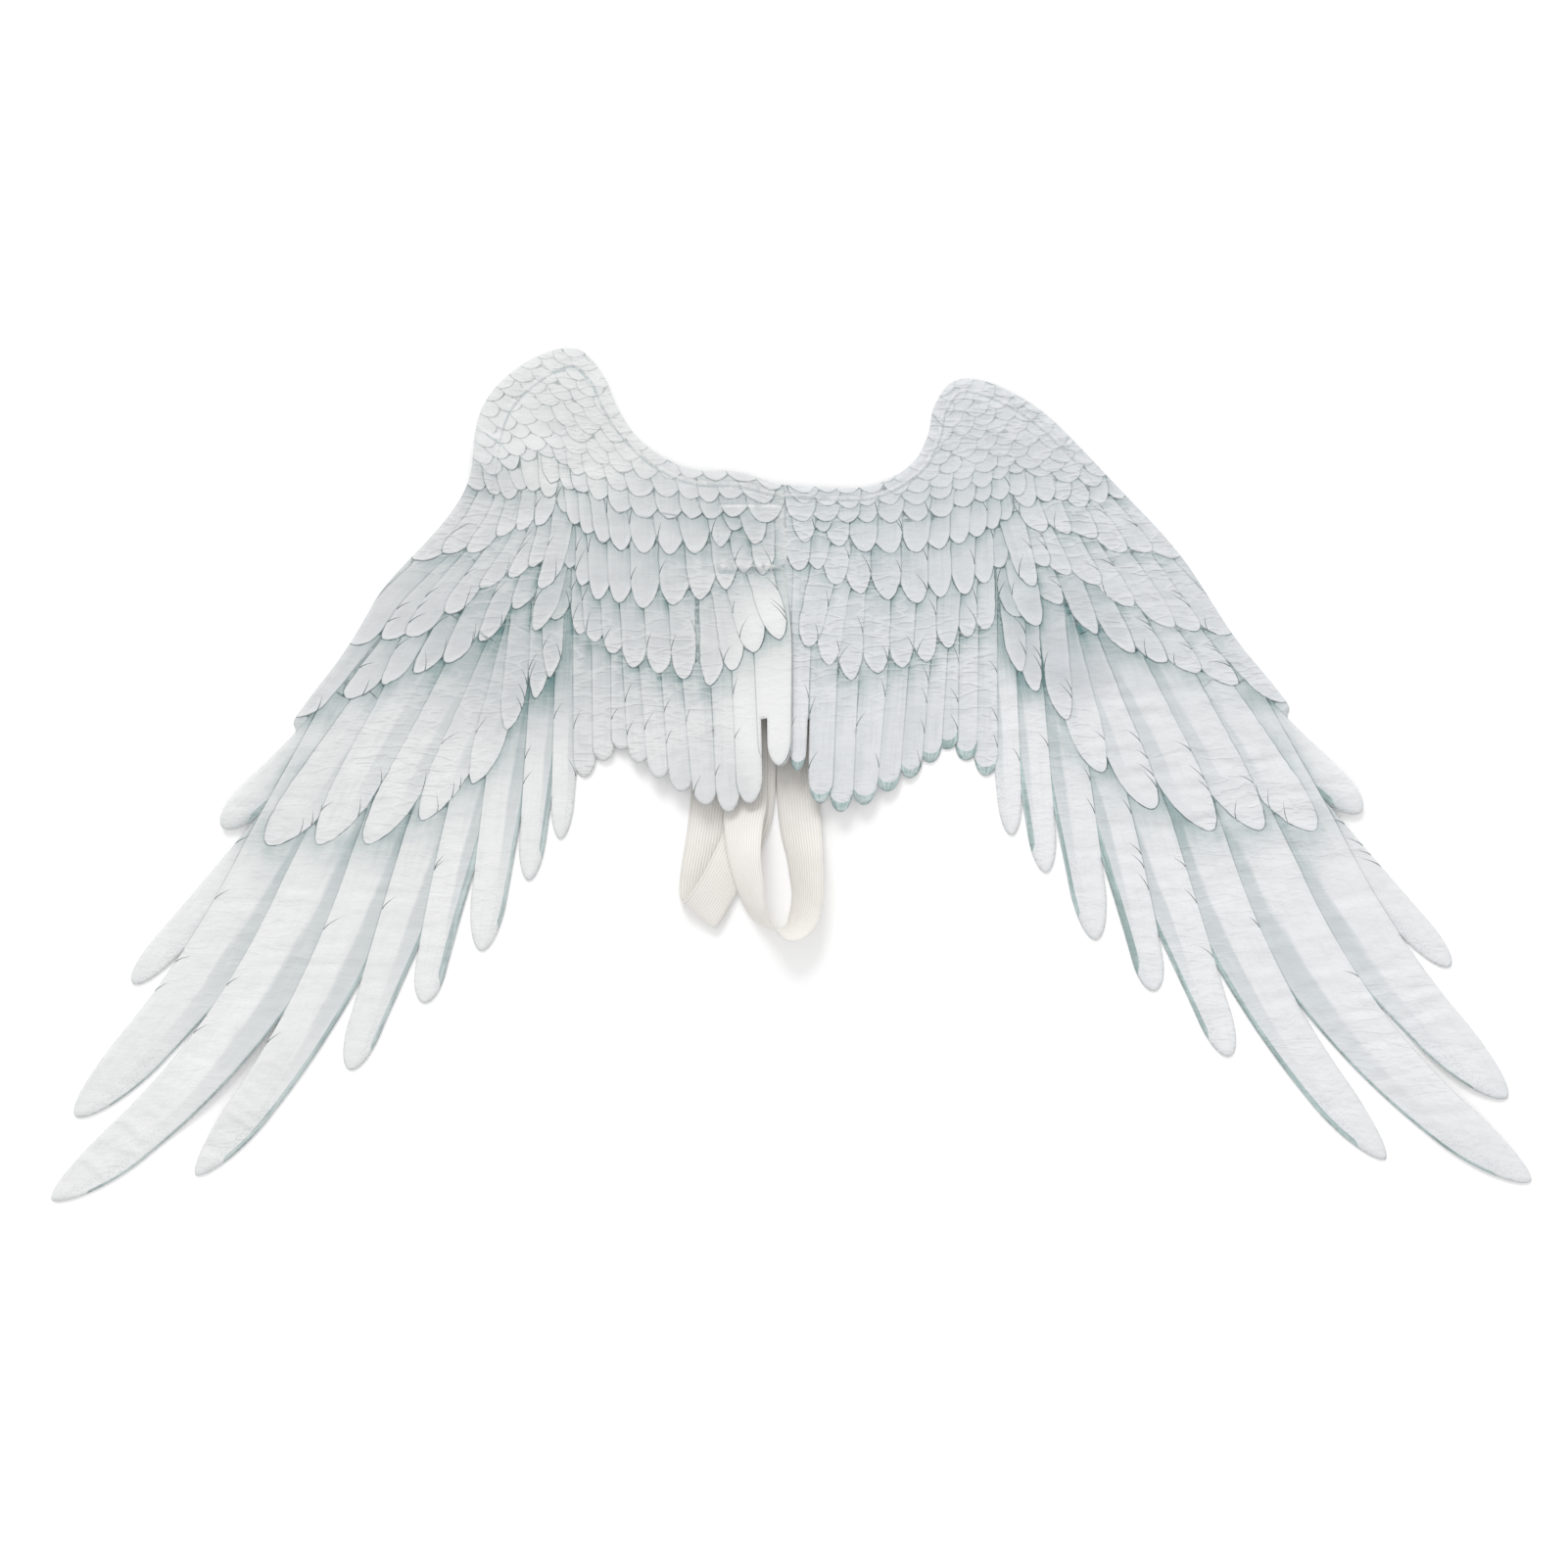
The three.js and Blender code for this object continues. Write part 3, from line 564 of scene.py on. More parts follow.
def printValues(spots, triangles, owner, feathers):
    # what the printed pattern needs at every corner of every triangle, worked out once for each pair of
    # point and feather: distance to the feather's own edge and to the edges that lie over it, how dark
    # the shade of those is, the place along and across the feather, and the feather's own look
    pairs, where = np.unique(owner.repeat(3) * len(spots) + triangles.ravel(), return_inverse=True)
    values = np.tile(bareCloth, (len(pairs), 1))
    pairOwner, pairSpot = np.divmod(pairs, len(spots))
    boxes = np.array([(*f["outline"].min(0), *f["outline"].max(0)) for f in feathers])
    for n in np.unique(pairOwner):
        mine = np.flatnonzero(pairOwner == n)
        p = spots[pairSpot[mine]]
        f = feathers[n] if n >= 0 else bareFeather
        soft = shade["soft"] * np.clip(f["wide"] / shade["softWide"], *shade["softLimits"])
        low, high = p.min(0) - shade["reach"], p.max(0) + shade["reach"]
        over = np.flatnonzero((boxes[:, :2] < high).all(1) & (boxes[:, 2:] > low).all(1))
        above = np.full((2, len(p)), shade["reach"])
        beside = np.full(len(p), shade["reach"])
        drawn = np.zeros(len(p))
        tips = np.zeros(len(p))
        for j in over[over > n]:
            ring = feathers[j]["outline"]
            d, nearest = nearestSegment(p, ring[:-1], ring[1:])
            bold = feathers[j]["lineAt"][nearest]
            closer = d < np.minimum(above[0], beside)
            drawn[closer] = bold[closer]
            if feathers[j]["row"] == f["row"]:
                beside = np.minimum(beside, d)
            else:
                above = np.sort(np.stack([*above, d]), 0)[:2]
                tips = np.maximum(tips, bold * np.exp(-d / soft))
        # shade close under the tips above, a wider one under the whole row, one along the neighbour
        # that fades towards the tip, and the notches where two edges meet
        wide = np.exp(-above[0] / (soft * shade["far"]))
        lit = (1 - shade["below"] * tips) * (1 - shade["wide"] * wide)
        lit *= 1 - shade["beside"] * np.exp(-beside / soft) * (
            shade["besideTip"] + (1 - shade["besideTip"]) * wide)
        patchy = shade["patchy"][0] + shade["patchy"][1] * softNoise(*p.T / shade["patch"], 2)
        slim = soft * shade["notch"] * (shade["flightNotch"] if f["row"] == "flight" else 1)
        notch = np.exp(-(above[0] + np.minimum(above[1], beside)) / slim)
        values[mine, column["cover"]] = np.minimum(above[0], beside)
        values[mine, column["shadow"]] = (1 - lit) * f["depth"] * patchy
        values[mine, column["drawn"]] = drawn
        values[mine, column["notch"]] = notch * f["depth"] * patchy
        if n < 0:
            continue
        way = p - f["root"]
        share = way @ f["along"] / f["length"]
        back = (1 - share) * f["length"]
        aside = way @ f["inward"] - bend(f, np.maximum(back, 0))
        half = halfWidth(f, np.maximum(back, 1.0))
        own, nearest = nearestSegment(p, f["outline"][:-1], f["outline"][1:])
        across = np.clip(aside / np.maximum(half, 0.5), -1, 1)
        reach = f["length"] * pattern["flightBand" if f["row"] == "flight" else "covertBand"]
        full = ramp(back, pattern["bandFrom"] * reach, reach)
        found = {"edge": np.minimum(own, pattern["farEdge"]), "across": across, "back": back,
                 "seed": f["seed"], "vane": f["vane"], "ownDrawn": f["lineAt"][nearest],
                 "band": f["band"] * (pattern["least"] + (1 - pattern["least"]) * full),
                 "bandLine": across - pattern["shaft"] - pattern["narrow"] * (1 - full)}
        if f["row"] == "flight":
            found["speckle"] = (f["vane"] * ramp(back, *pattern["speckleBack"])
                                * ramp(across, *pattern["speckleAcross"]))
        if f.get("tealTip"):      # below a round printed tip that ends above the cut one
            arc = 1 - np.sqrt(np.clip(1 - (2 * aside / f["wide"])**2, 0, 1))
            found["green"] = f["tealTip"] + pattern["tealCurve"] * f["wide"] * arc - back
        if f.get("strip"):
            strip = np.where(aside > 0, f["strip"] - own, pattern["noGreen"])
            found["green"] = strip + pattern["noGreen"] * ramp(back, *flight["stripEnd"])
        for name, value in found.items():
            values[mine, column[name]] = value
    return values[where]


def rimDistance(spots, triangles):
    # distance of every point to the panel's rim, up to a limit, worked out square by square of the rim
    limit, square = 6.0, 40.0
    sides = np.concatenate([triangles[:, [0, 1]], triangles[:, [1, 2]], triangles[:, [2, 0]]])
    key = np.sort(sides, 1)
    key = key[:, 0] * len(spots) + key[:, 1]
    first, count = np.unique(key, return_index=True, return_counts=True)[1:]
    rim = sides[first[count == 1]]
    far = np.full(len(spots), limit)
    squares = np.floor(spots[rim[:, 0]] / square) @ (1, 1000)
    for one in np.unique(squares):
        a, b = spots[rim[squares == one]].transpose(1, 0, 2)
        near = nearBox(spots, np.concatenate([a, b]), limit)
        far[near] = np.minimum(far[near], nearestSegment(spots[near], a, b)[0])
    return far, rim


# relief of the printed side: height and softness of the padded channel, of the stitch grooves and of
# the roll at the strap box's lower edge, and heights and sizes of puckers and dents
sewing = {
    "away": 40, "boxAway": 30, "rollStretch": 0.5, "rows": (9, 6),
    "channel": (0.6, 3.2), "groove": (0.8, 1.4), "pucker": 0.45, "puckerSize": 5.5, "puckerFade": (2, 7),
    "dent": (0.3, 23), "small": (0.12, 6),
    "boxGroove": (0.9, 1.4), "boxRaise": 0.5, "boxFrom": (-2, -10),
    "roll": (2.4, 2.2), "rollAt": 4.5, "rollSway": (0.8, 9), "rollFrom": (-4, 8),
    "drag": 0.5, "dragSize": (14, 5), "dragFade": 9,
    "lapUp": (-55, -63), "lapOut": (16, 6), "lowest": -1,
}


def bump(distance, wide):
    return np.exp(-(distance / wide)**2)


def boxDistance(x, y, box):
    # signed distance to a rectangle's outline, negative inside
    (x0, x1), (y0, y1) = box
    dx = np.maximum(x0 - x, x - x1)
    dy = np.maximum(y0 - y, y - y1)
    return np.hypot(np.maximum(dx, 0), np.maximum(dy, 0)) + np.minimum(np.maximum(dx, dy), 0)


def boxRows(y):
    # 1 along the top and bottom rows of the strap box, 0 along its sides, where no stitching shows
    return ramp(np.abs(np.subtract.outer(y, strapBox["area"][1])).min(1), *sewing["rows"])


def hemLine(perSpan):
    # the part of the leading edge that is hemmed
    return splinePoints(leadingEdge[:-3], perSpan)


def channelAt(wing, out):
    # distance of the topstitching from the leading edge: narrow at the neckline, wider round the wrist
    return panel["channel"] + (wing["channel"] - panel["channel"]) * ramp(out, *panel["wristFrom"])


def stitchDistance(wing, spots, x, y):
    # signed distance to the nearest stitched line, positive on the inner side of the leading edge's
    far = segmentDistance(spots, hemLine(6)) - channelAt(wing, spots[:, 0])
    far = far + sewing["away"] * ramp(spots[:, 0], *panel["hemEnd"])
    if wing["side"] > 0:
        return far
    box = boxDistance(x, y, strapBox["area"])
    stretch = np.where(y < np.mean(strapBox["area"][1]), sewing["rollStretch"], 1)
    box = box * stretch + sewing["boxAway"] * np.sign(box) * (1 - boxRows(y))
    return np.where(np.abs(box) < np.abs(far), box, far)


def frontRelief(wing, spots, x, y):
    # sewn detail and creases on the printed side: a padded channel along the leading edge with its
    # stitch groove, puckers across that groove, and on the left panel the box that holds the straps
    out, up = spots.T
    k = sewing
    near = segmentDistance(spots, hemLine(6))
    line = channelAt(wing, out)
    runs = k["channel"][0] * bump(near - line * 0.5, k["channel"][1])
    runs = runs - k["groove"][0] * bump(near - line, k["groove"][1])
    pucker = softNoise(out / k["puckerSize"], up / k["puckerSize"], 3)
    pucker = pucker * bump(near - line - k["puckerFade"][0], k["puckerFade"][1])
    z = (runs + k["pucker"] * pucker) * (1 - ramp(out, *panel["hemEnd"])) + creases(wing, out, up)
    z = z + k["dent"][0] * softNoise(out / k["dent"][1], up / k["dent"][1], 8 + wing["side"])
    z = z + k["small"][0] * softNoise(out / k["small"][1], up / k["small"][1], 5)
    if wing["side"] < 0:
        d = boxDistance(x, y, strapBox["area"])
        bottom = y - strapBox["area"][1][0]
        wide = ramp(x - strapBox["area"][0][0], *k["rollFrom"])
        z = z - k["boxGroove"][0] * bump(d, k["boxGroove"][1]) * boxRows(y)
        z = z + k["boxRaise"] * ramp(d, *k["boxFrom"])
        sway = k["rollSway"][0] * softNoise(x / k["rollSway"][1], x * 0, 4)
        z = z + k["roll"][0] * wide * bump(bottom - k["rollAt"] - sway, k["roll"][1]) * (d < 0)
        drag = softNoise((x + y) / k["dragSize"][0], (x - y) / k["dragSize"][1], 6)
        z = z + k["drag"] * drag * bump(d, k["dragFade"]) * (bottom < 0)
    if wing["side"] > 0:      # nothing rises under the left panel's lap
        z = z * (1 - ramp(up, *k["lapUp"]) * ramp(out, *k["lapOut"]))
    return np.maximum(z, k["lowest"])


def tonePatchesAndLight(wing, spots):
    # broad lighter and darker patches on the printed cloth, about a middle of 0.5; the light one over the
    # left panel's lower inner corner is painted light
    tone = np.full(len(spots), 0.5)
    for patch in table(toneColumns, toneRows):
        if patch["wing"] == wing["name"]:
            tone += patch["amount"] * patchFade(patch, *spots.T)[0]
    return np.clip(tone, 0, 1)


def makeMesh(name, points, faces, materials, which=None):
    # mesh object from whole arrays, in metres, at the origin
    mesh = bpy.data.meshes.new(name)
    size = faces.shape[1]
    mesh.vertices.add(len(points))
    mesh.vertices.foreach_set("co", (points * mm).astype(np.float32).ravel())
    mesh.loops.add(faces.size)
    mesh.loops.foreach_set("vertex_index", faces.astype(np.int32).ravel())
    mesh.polygons.add(len(faces))
    mesh.polygons.foreach_set("loop_start", np.arange(0, faces.size, size, dtype=np.int32))
    mesh.polygons.foreach_set("use_smooth", np.ones(len(faces), bool))
    if which is not None:
        mesh.polygons.foreach_set("material_index", which.astype(np.int32))
    mesh.update(calc_edges=True)
    mesh.validate()
    obj = bpy.data.objects.new(name, mesh)
    scene.collection.objects.link(obj)
    for material in materials:
        mesh.materials.append(material)
    return obj


def cornerValues(obj, name, values):
    layer = obj.data.attributes.new(name, "FLOAT_VECTOR", "CORNER")
    layer.data.foreach_set("vector", values.astype(np.float32).ravel())


def put(tree, kind, *values, **settings):
    # a node with its settings, its inputs filled in order with numbers or with other nodes' outputs
    node = tree.nodes.new(kind)
    for key, value in settings.items():
        setattr(node, key, value)
    for socket, value in zip(node.inputs, values):
        if isinstance(value, bpy.types.NodeSocket):
            tree.links.new(value, socket)
        elif value is not None:
            socket.default_value = value
    return node


def calc(tree, operation, a, b=0.0, c=0.0):
    return put(tree, "ShaderNodeMath", a, b, c, operation=operation).outputs[0]


def step(tree, value, a, b, low=0.0, high=1.0):
    # smooth step between a and b, in either direction
    return put(tree, "ShaderNodeMapRange", value, a, b, low, high,
               interpolation_type="SMOOTHSTEP").outputs[0]


def tint(tree, share, a, b):
    return put(tree, "ShaderNodeMix", share, None, None, None, None, None, a, b,
               data_type="RGBA").outputs[2]


def times(tree, *values):
    total = values[0]
    for value in values[1:]:
        total = calc(tree, "MULTIPLY", total, value)
    return total


def paint(r, g, b):
    # an sRGB colour as seen in the light of this scene, as a linear surface colour
    c = np.array([r, g, b]) / 255
    c = np.where(c > 0.04045, ((c + 0.055) / 1.055)**2.4, c / 12.92) / exposure
    return (*np.minimum(c, 0.93), 1)


def noise(tree, at, scale, detail, rough=0.5):
    return put(tree, "ShaderNodeTexNoise", at, None, scale, detail, rough).outputs[0]


def newMaterial(name):
    # a material with its node tree, its shader and the place on the object in metres
    material = bpy.data.materials.new(name)
    material.use_nodes = True
    tree = material.node_tree
    place = put(tree, "ShaderNodeTexCoord").outputs["Object"]
    return material, tree, tree.nodes["Principled BSDF"], place


def finishCloth(tree, shader, color, rough, bump, specular, sheen):
    for socket, output in (("Base Color", color), ("Roughness", rough), ("Normal", bump.outputs[0])):
        tree.links.new(output, shader.inputs[socket])
    shader.inputs["Specular IOR Level"].default_value = specular
    shader.inputs["Sheen Weight"].default_value = sheen


def split(tree, name):
    data = put(tree, "ShaderNodeAttribute", attribute_name=name)
    return put(tree, "ShaderNodeSeparateXYZ", data.outputs["Vector"]).outputs


def printedCloth(name, look):
    # dye-printed satin: grey coverts and white flight feathers, each with a banded inner side, a pale
    # rim, a thin drawn edge, green-grey shade under the feathers above, and hair strokes at the edges
    # over the print: painted highlights on the stitched and crinkled ridges, painted shade in the stitch
    # grooves, and lighter patches that are partly painted light
    material, tree, shader, place = newMaterial(name)
    look = {key: paint(*value) if isinstance(value, tuple) else value for key, value in look.items()}
    edge, cover, shadow = split(tree, "featherEdge")
    across, back, seed = split(tree, "featherRun")
    vane, band, green = split(tree, "featherLook")
    drawn, notch, ownDrawn = split(tree, "featherOver")
    ink, seam, tone = split(tree, "featherInk")
    bandLine, speckle, _ = split(tree, "featherBand")

    streakAt = put(tree, "ShaderNodeCombineXYZ", calc(tree, "MULTIPLY", across, 4.0),
                   calc(tree, "MULTIPLY", back, 0.025), calc(tree, "MULTIPLY", seed, 90.0)).outputs[0]
    streak = noise(tree, streakAt, 1.0, 3.0, 0.6)
    mottle = noise(tree, place, 70.0, 4.0, 0.65)
    grain = noise(tree, place, 900.0, 2.0)

    # vane and band: the band starts sharply near the shaft, and narrows and pales towards the tip
    color = tint(tree, vane, look["covert"], look["vane"])
    bandEdge = calc(tree, "MULTIPLY_ADD", calc(tree, "SUBTRACT", streak, 0.5), 0.25, bandLine)
    paler = step(tree, across, 0.55, 1.0, 1.0, 0.7)
    bandShare = times(tree, step(tree, bandEdge, 0.0, 0.18), paler, band)
    color = tint(tree, bandShare, color, look["bandTone"])
    color = tint(tree, times(tree, speckle, step(tree, grain, 0.5, 0.66), 0.4), color, look["shade"])
    plain = step(tree, vane, 0.2, 1.0, 1.0, 0.25)
    color = tint(tree, times(tree, step(tree, mottle, 0.42, 0.72), plain, 0.55), color, look["deep"])
    color = tint(tree, times(tree, step(tree, streak, 0.48, 0.75), plain, 0.6), color, look["deep"])
    color = tint(tree, times(tree, step(tree, streak, 0.46, 0.25), 0.5), color, look["rim"])
    color = tint(tree, times(tree, seed, plain, 0.35), color, look["deep"])
    # lighter and darker patches; the one over the left panel's lower inner corner is a painted pool of
    # light
    color = tint(tree, step(tree, tone, 0.5, 0.0), color, look["dim"])
    color = tint(tree, step(tree, tone, 0.5, 1.0), color, look["bright"])

    # pale tip with a paler rim
    free = calc(tree, "LESS_THAN", edge, cover)
    rim = times(tree, step(tree, edge, 0.3, 0.9), step(tree, edge, 4.0, 1.4), ownDrawn, free)
    color = tint(tree, calc(tree, "MULTIPLY", rim, 0.7), color, look["rim"])
    color = tint(tree, step(tree, back, 18.0, 3.0, 0.0, 0.4), color, look["rim"])

    # shade under the feathers above, darkest in the notches between their tips
    dark = calc(tree, "MULTIPLY", shadow, step(tree, mottle, 0.3, 0.7, 0.8, 1.2))
    color = tint(tree, dark, color, look["shade"])
    deeper = step(tree, tone, 0.5, 0.0, 1.0, 1.8)
    wedge = times(tree, notch, step(tree, streak, 0.3, 0.65, 0.6, 1.0), deeper)
    color = tint(tree, calc(tree, "MINIMUM", wedge, 1.0), color, look["shadeDeep"])

    # green ends of the short inner feathers and green strips along some inner edges
    patchy = tint(tree, step(tree, streak, 0.4, 0.6), look["green"], look["greenDeep"])
    color = tint(tree, times(tree, step(tree, green, -0.3, 0.3), look["greens"]), color, patchy)

    # drawn lines and hair strokes
    ownLine = times(tree, step(tree, edge, 0.55, 0.05), free, ownDrawn, 0.5)
    broken = step(tree, streak, 0.35, 0.55, 0.4, 1.0)
    bold = calc(tree, "MINIMUM", calc(tree, "MULTIPLY_ADD", notch, 0.7, drawn), 1.0)
    overLine = times(tree, step(tree, cover, 1.0, 0.3), bold, broken)
    line = calc(tree, "MAXIMUM", ownLine, overLine)
    line = calc(tree, "MAXIMUM", line, calc(tree, "MULTIPLY", ink, 0.9))
    color = tint(tree, line, color, look["stroke"])

    # stitched lines: painted shade in the groove, and a painted highlight on the padded side of it
    ridgeHighlight = step(tree, calc(tree, "ABSOLUTE", calc(tree, "ADD", seam, 2.0)), 1.6, 0.3)
    pucker = noise(tree, place, 160.0, 2.0)
    # painted highlight along the padded side of each stitched line
    color = tint(tree, times(tree, ridgeHighlight, step(tree, pucker, 0.35, 0.6), 0.8), color, look["bright"])
    # painted shade in the stitch groove
    groove = step(tree, calc(tree, "ABSOLUTE", seam), 1.2, 0.2)
    groove = times(tree, groove, step(tree, pucker, 0.6, 0.4, 0.2, 0.75))
    color = tint(tree, groove, color, look["shade"])

    # fine crinkles: thin ridges where a noise drawn out along X crosses its middle value; they get a bump
    # and a painted highlight
    drawnOut = put(tree, "ShaderNodeMapping", place, None, (0, 0, look["crinkleTurn"]), (36, 120, 1))
    wave = noise(tree, drawnOut.outputs[0], 1.0, 2.0)
    fold = step(tree, calc(tree, "ABSOLUTE", calc(tree, "SUBTRACT", wave, 0.5)), 0.09, 0.0)
    patch = noise(tree, place, 9.0, 1.0)
    calm = step(tree, vane, 0.6, 1.0, 1.0, 0.4)
    fold = times(tree, fold, step(tree, patch, 0.35, 0.6), calm, look["crinkleAndSheen"])
    # painted highlight on the crinkles' ridges
    color = tint(tree, calc(tree, "MULTIPLY", fold, 0.45), color, look["bright"])
    color = tint(tree, step(tree, grain, 0.35, 0.75, 0.0, 0.14), color, look["deep"])

    ripple = put(tree, "ShaderNodeMapping", place, None, (0, 0, look["crinkleTurn"] + 0.3), (60, 120, 1))
    ripple = noise(tree, ripple.outputs[0], 1.0, 3.0, 0.55)
    height = calc(tree, "MULTIPLY_ADD", ripple, look["ripple"], calc(tree, "MULTIPLY", fold, 0.8))
    thread = noise(tree, place, 1500.0, 1.0)
    height = calc(tree, "MULTIPLY_ADD", thread, 0.12, height)
    bump = put(tree, "ShaderNodeBump", 0.8, 0.001, None, height)
    rough = step(tree, mottle, 0.3, 0.7, 0.62, 0.74)
    finishCloth(tree, shader, color, rough, bump, 0.25, 0.12)
    return material


def backCloth(name):
    # unprinted side: plain white satin with a faint weave
    material, tree, shader, place = newMaterial(name)
    mottle = noise(tree, place, 40.0, 4.0, 0.6)
    thread = noise(tree, place, 1500.0, 1.0)
    patchy = step(tree, mottle, 0.35, 0.7, 0.0, 0.6)
    color = tint(tree, patchy, paint(236, 237, 238), paint(226, 228, 230))
    bump = put(tree, "ShaderNodeBump", 0.35, 0.0004, None, thread)
    rough = step(tree, mottle, 0.3, 0.7, 0.6, 0.72)
    finishCloth(tree, shader, color, rough, bump, 0.25, 0.12)
    return material


def makeWing(wing):
    # closed cloth panel: printed front and plain back over one triangulation, joined along a soft rim
    spots, triangles, owner, inked, feathers = cutPanel(wing)
    used = np.unique(triangles)
    renumber = np.full(len(spots), -1)
    renumber[used] = np.arange(len(used))
    spots, triangles = spots[used], renumber[triangles]
    values = printValues(spots, triangles, owner, feathers)
    # painted light: the left panel's lifted inner flap is painted whiter, as a pool of light
    paintedFlapLight = ramp(spots[:, 0], *panel["paintedLightOut"]) * ramp(spots[:, 1], *panel["paintedLightUp"])
    paintedFlapLight = wing["paintedLight"] * paintedFlapLight
    values[:, column["vane"]] = np.maximum(values[:, column["vane"]], paintedFlapLight[triangles.ravel()])
    rimFar, rim = rimDistance(spots, triangles)
    x, y = place(wing, *spots.T)
    values[:, column["ink"]] = inked.repeat(3)
    values[:, column["seam"]] = stitchDistance(wing, spots, x, y)[triangles.ravel()]
    values[:, column["tone"]] = tonePatchesAndLight(wing, spots)[triangles.ravel()]
    swell = np.sqrt(1 - (1 - np.clip(rimFar / panel["rimWide"], 0, 1))**2)
    seam = ramp(spots[:, 0], *panel["seamFlat"]) * (spots[:, 1] > -panel["sewn"])
    swell = np.maximum(swell, seam)
    half = panel["thick"] / 2 * (panel["rimShare"] + (1 - panel["rimShare"]) * swell)
    relief = frontRelief(wing, spots, x, y) * ramp(rimFar, *panel["reliefFrom"])
    middle = clothBack(wing, x, y) + panel["clear"] + panel["thick"] / 2
    points = np.concatenate([np.c_[x, y, middle + half + relief], np.c_[x, y, middle - half]])
    a, b = rim.T
    count = len(spots)
    faces = np.concatenate([triangles, triangles[:, ::-1] + count,
                            np.c_[a, a + count, b + count], np.c_[a, b + count, b]])
    which = np.repeat([0, 1], [len(triangles), len(faces) - len(triangles)])
    corners = np.concatenate([values, np.tile(bareCloth, (3 * len(faces) - len(values), 1))])
    if wing["side"] < 0:      # the mirrored panel turns its faces round
        faces = faces[:, ::-1]
        corners = corners.reshape(-1, 3, len(bareCloth))[:, ::-1].reshape(-1, len(bareCloth))
    obj = makeMesh(wing["name"] + "_cloth", points, faces, [wing["print"], plainBack], which)
    for n, name in enumerate(printed):
        cornerValues(obj, name, corners[:, 3 * n:3 * n + 3])
    print(obj.name, len(faces), "triangles,", len(feathers), "feathers")
    return obj


exposure = 1.18
# what the print needs at a corner, three values to an attribute, and its value away from every feather
printed = {
    "featherEdge": {"edge": 30, "cover": 40, "shadow": 0},
    "featherRun": {"across": 0, "back": 60, "seed": 0},
    "featherLook": {"vane": 0, "band": 0, "green": -5},
    "featherOver": {"drawn": 0, "notch": 0, "ownDrawn": 0},
    "featherInk": {"ink": 0, "seam": 30, "tone": 0.5},
    "featherBand": {"bandLine": 0, "speckle": 0, "spare": 0},
}
column = {key: n for n, key in enumerate(key for group in printed.values() for key in group)}
bareCloth = np.array([value for group in printed.values() for value in group.values()], float)
bareFeather = {"row": "body", "wide": 20, "depth": 0.4}
# shade under the feathers above: how far it is looked for, how fast it fades for a feather of a middle
# width, the wider fade in those lengths, the notches' fade, and the strength of each
shade = {"reach": 40.0, "soft": 2.8, "softWide": 20, "softLimits": (0.7, 1.5), "far": 3.2, "notch": 2.6,
         "flightNotch": 1.6, "below": 0.55, "wide": 0.4, "beside": 0.5, "besideTip": 0.3,
         "patchy": (0.75, 0.35), "patch": 21}
# bands and green ends: share of the feather with a full band, where that starts, the band's least
# strength, its line at the shaft and how far that moves near the tip, the speckles and the tip's curve
pattern = {"flightBand": 0.8, "covertBand": 0.5, "bandFrom": 0.25, "least": 0.12, "shaft": 0.08,
           "narrow": 0.2, "speckleBack": (120, 30), "speckleAcross": (-0.2, 0.7), "tealCurve": 0.55,
           "noGreen": -5, "farEdge": 30}
strapBox = {"area": ((-52, -6), (143, 192))}
# patches of lighter and darker cloth; the left panel's one at (12, -140), by its inner flap, is a painted
# pool of light
toneColumns = ("wing", "at", "long", "wide", "amount")
toneRows = [
    ("left_wing", (150, 34), 84, 62, 0.8),
    ("left_wing", (180, -110), 170, 90, -0.4),
    ("left_wing", (26, -36), 34, 32, -0.35),
    ("left_wing", (12, -140), 44, 88, 0.6),
    ("right_wing", (240, -90), 100, 80, -0.15),
    ("right_wing", (198, -112), 50, 54, -0.6),
    ("left_wing", (198, -112), 52, 56, -0.12),
]

coolLook = {
    "covert": (219, 222, 225), "deep": (205, 209, 213), "rim": (227, 229, 232),
    "dim": (206, 209, 213), "bright": (238, 239, 241),
    "vane": (240, 240, 241), "bandTone": (211, 216, 218),
    "shade": (170, 187, 189), "shadeDeep": (92, 132, 132), "stroke": (70, 90, 91),
    "green": (178, 202, 199), "greenDeep": (132, 160, 157), "greens": 0.85,
    "ripple": 1.6, "crinkleAndSheen": 0.8, "crinkleTurn": 0.06,
}
warmLook = {
    "covert": (219, 221, 222), "deep": (205, 208, 209), "rim": (228, 229, 230),
    "dim": (203, 206, 208), "bright": (238, 239, 238),
    "vane": (240, 240, 240), "bandTone": (211, 215, 216),
    "shade": (171, 186, 187), "shadeDeep": (96, 131, 131), "stroke": (70, 89, 90),
    "green": (186, 204, 202), "greenDeep": (144, 166, 165), "greens": 0.75,
    "ripple": 1.3, "crinkleAndSheen": 0.65, "crinkleTurn": -0.05,
}
plainBack = backCloth("wing_back")
wings[0]["print"] = printedCloth("wing_print_left", warmLook)
wings[1]["print"] = printedCloth("wing_print_right", coolLook)
panels = [makeWing(wing) for wing in wings]

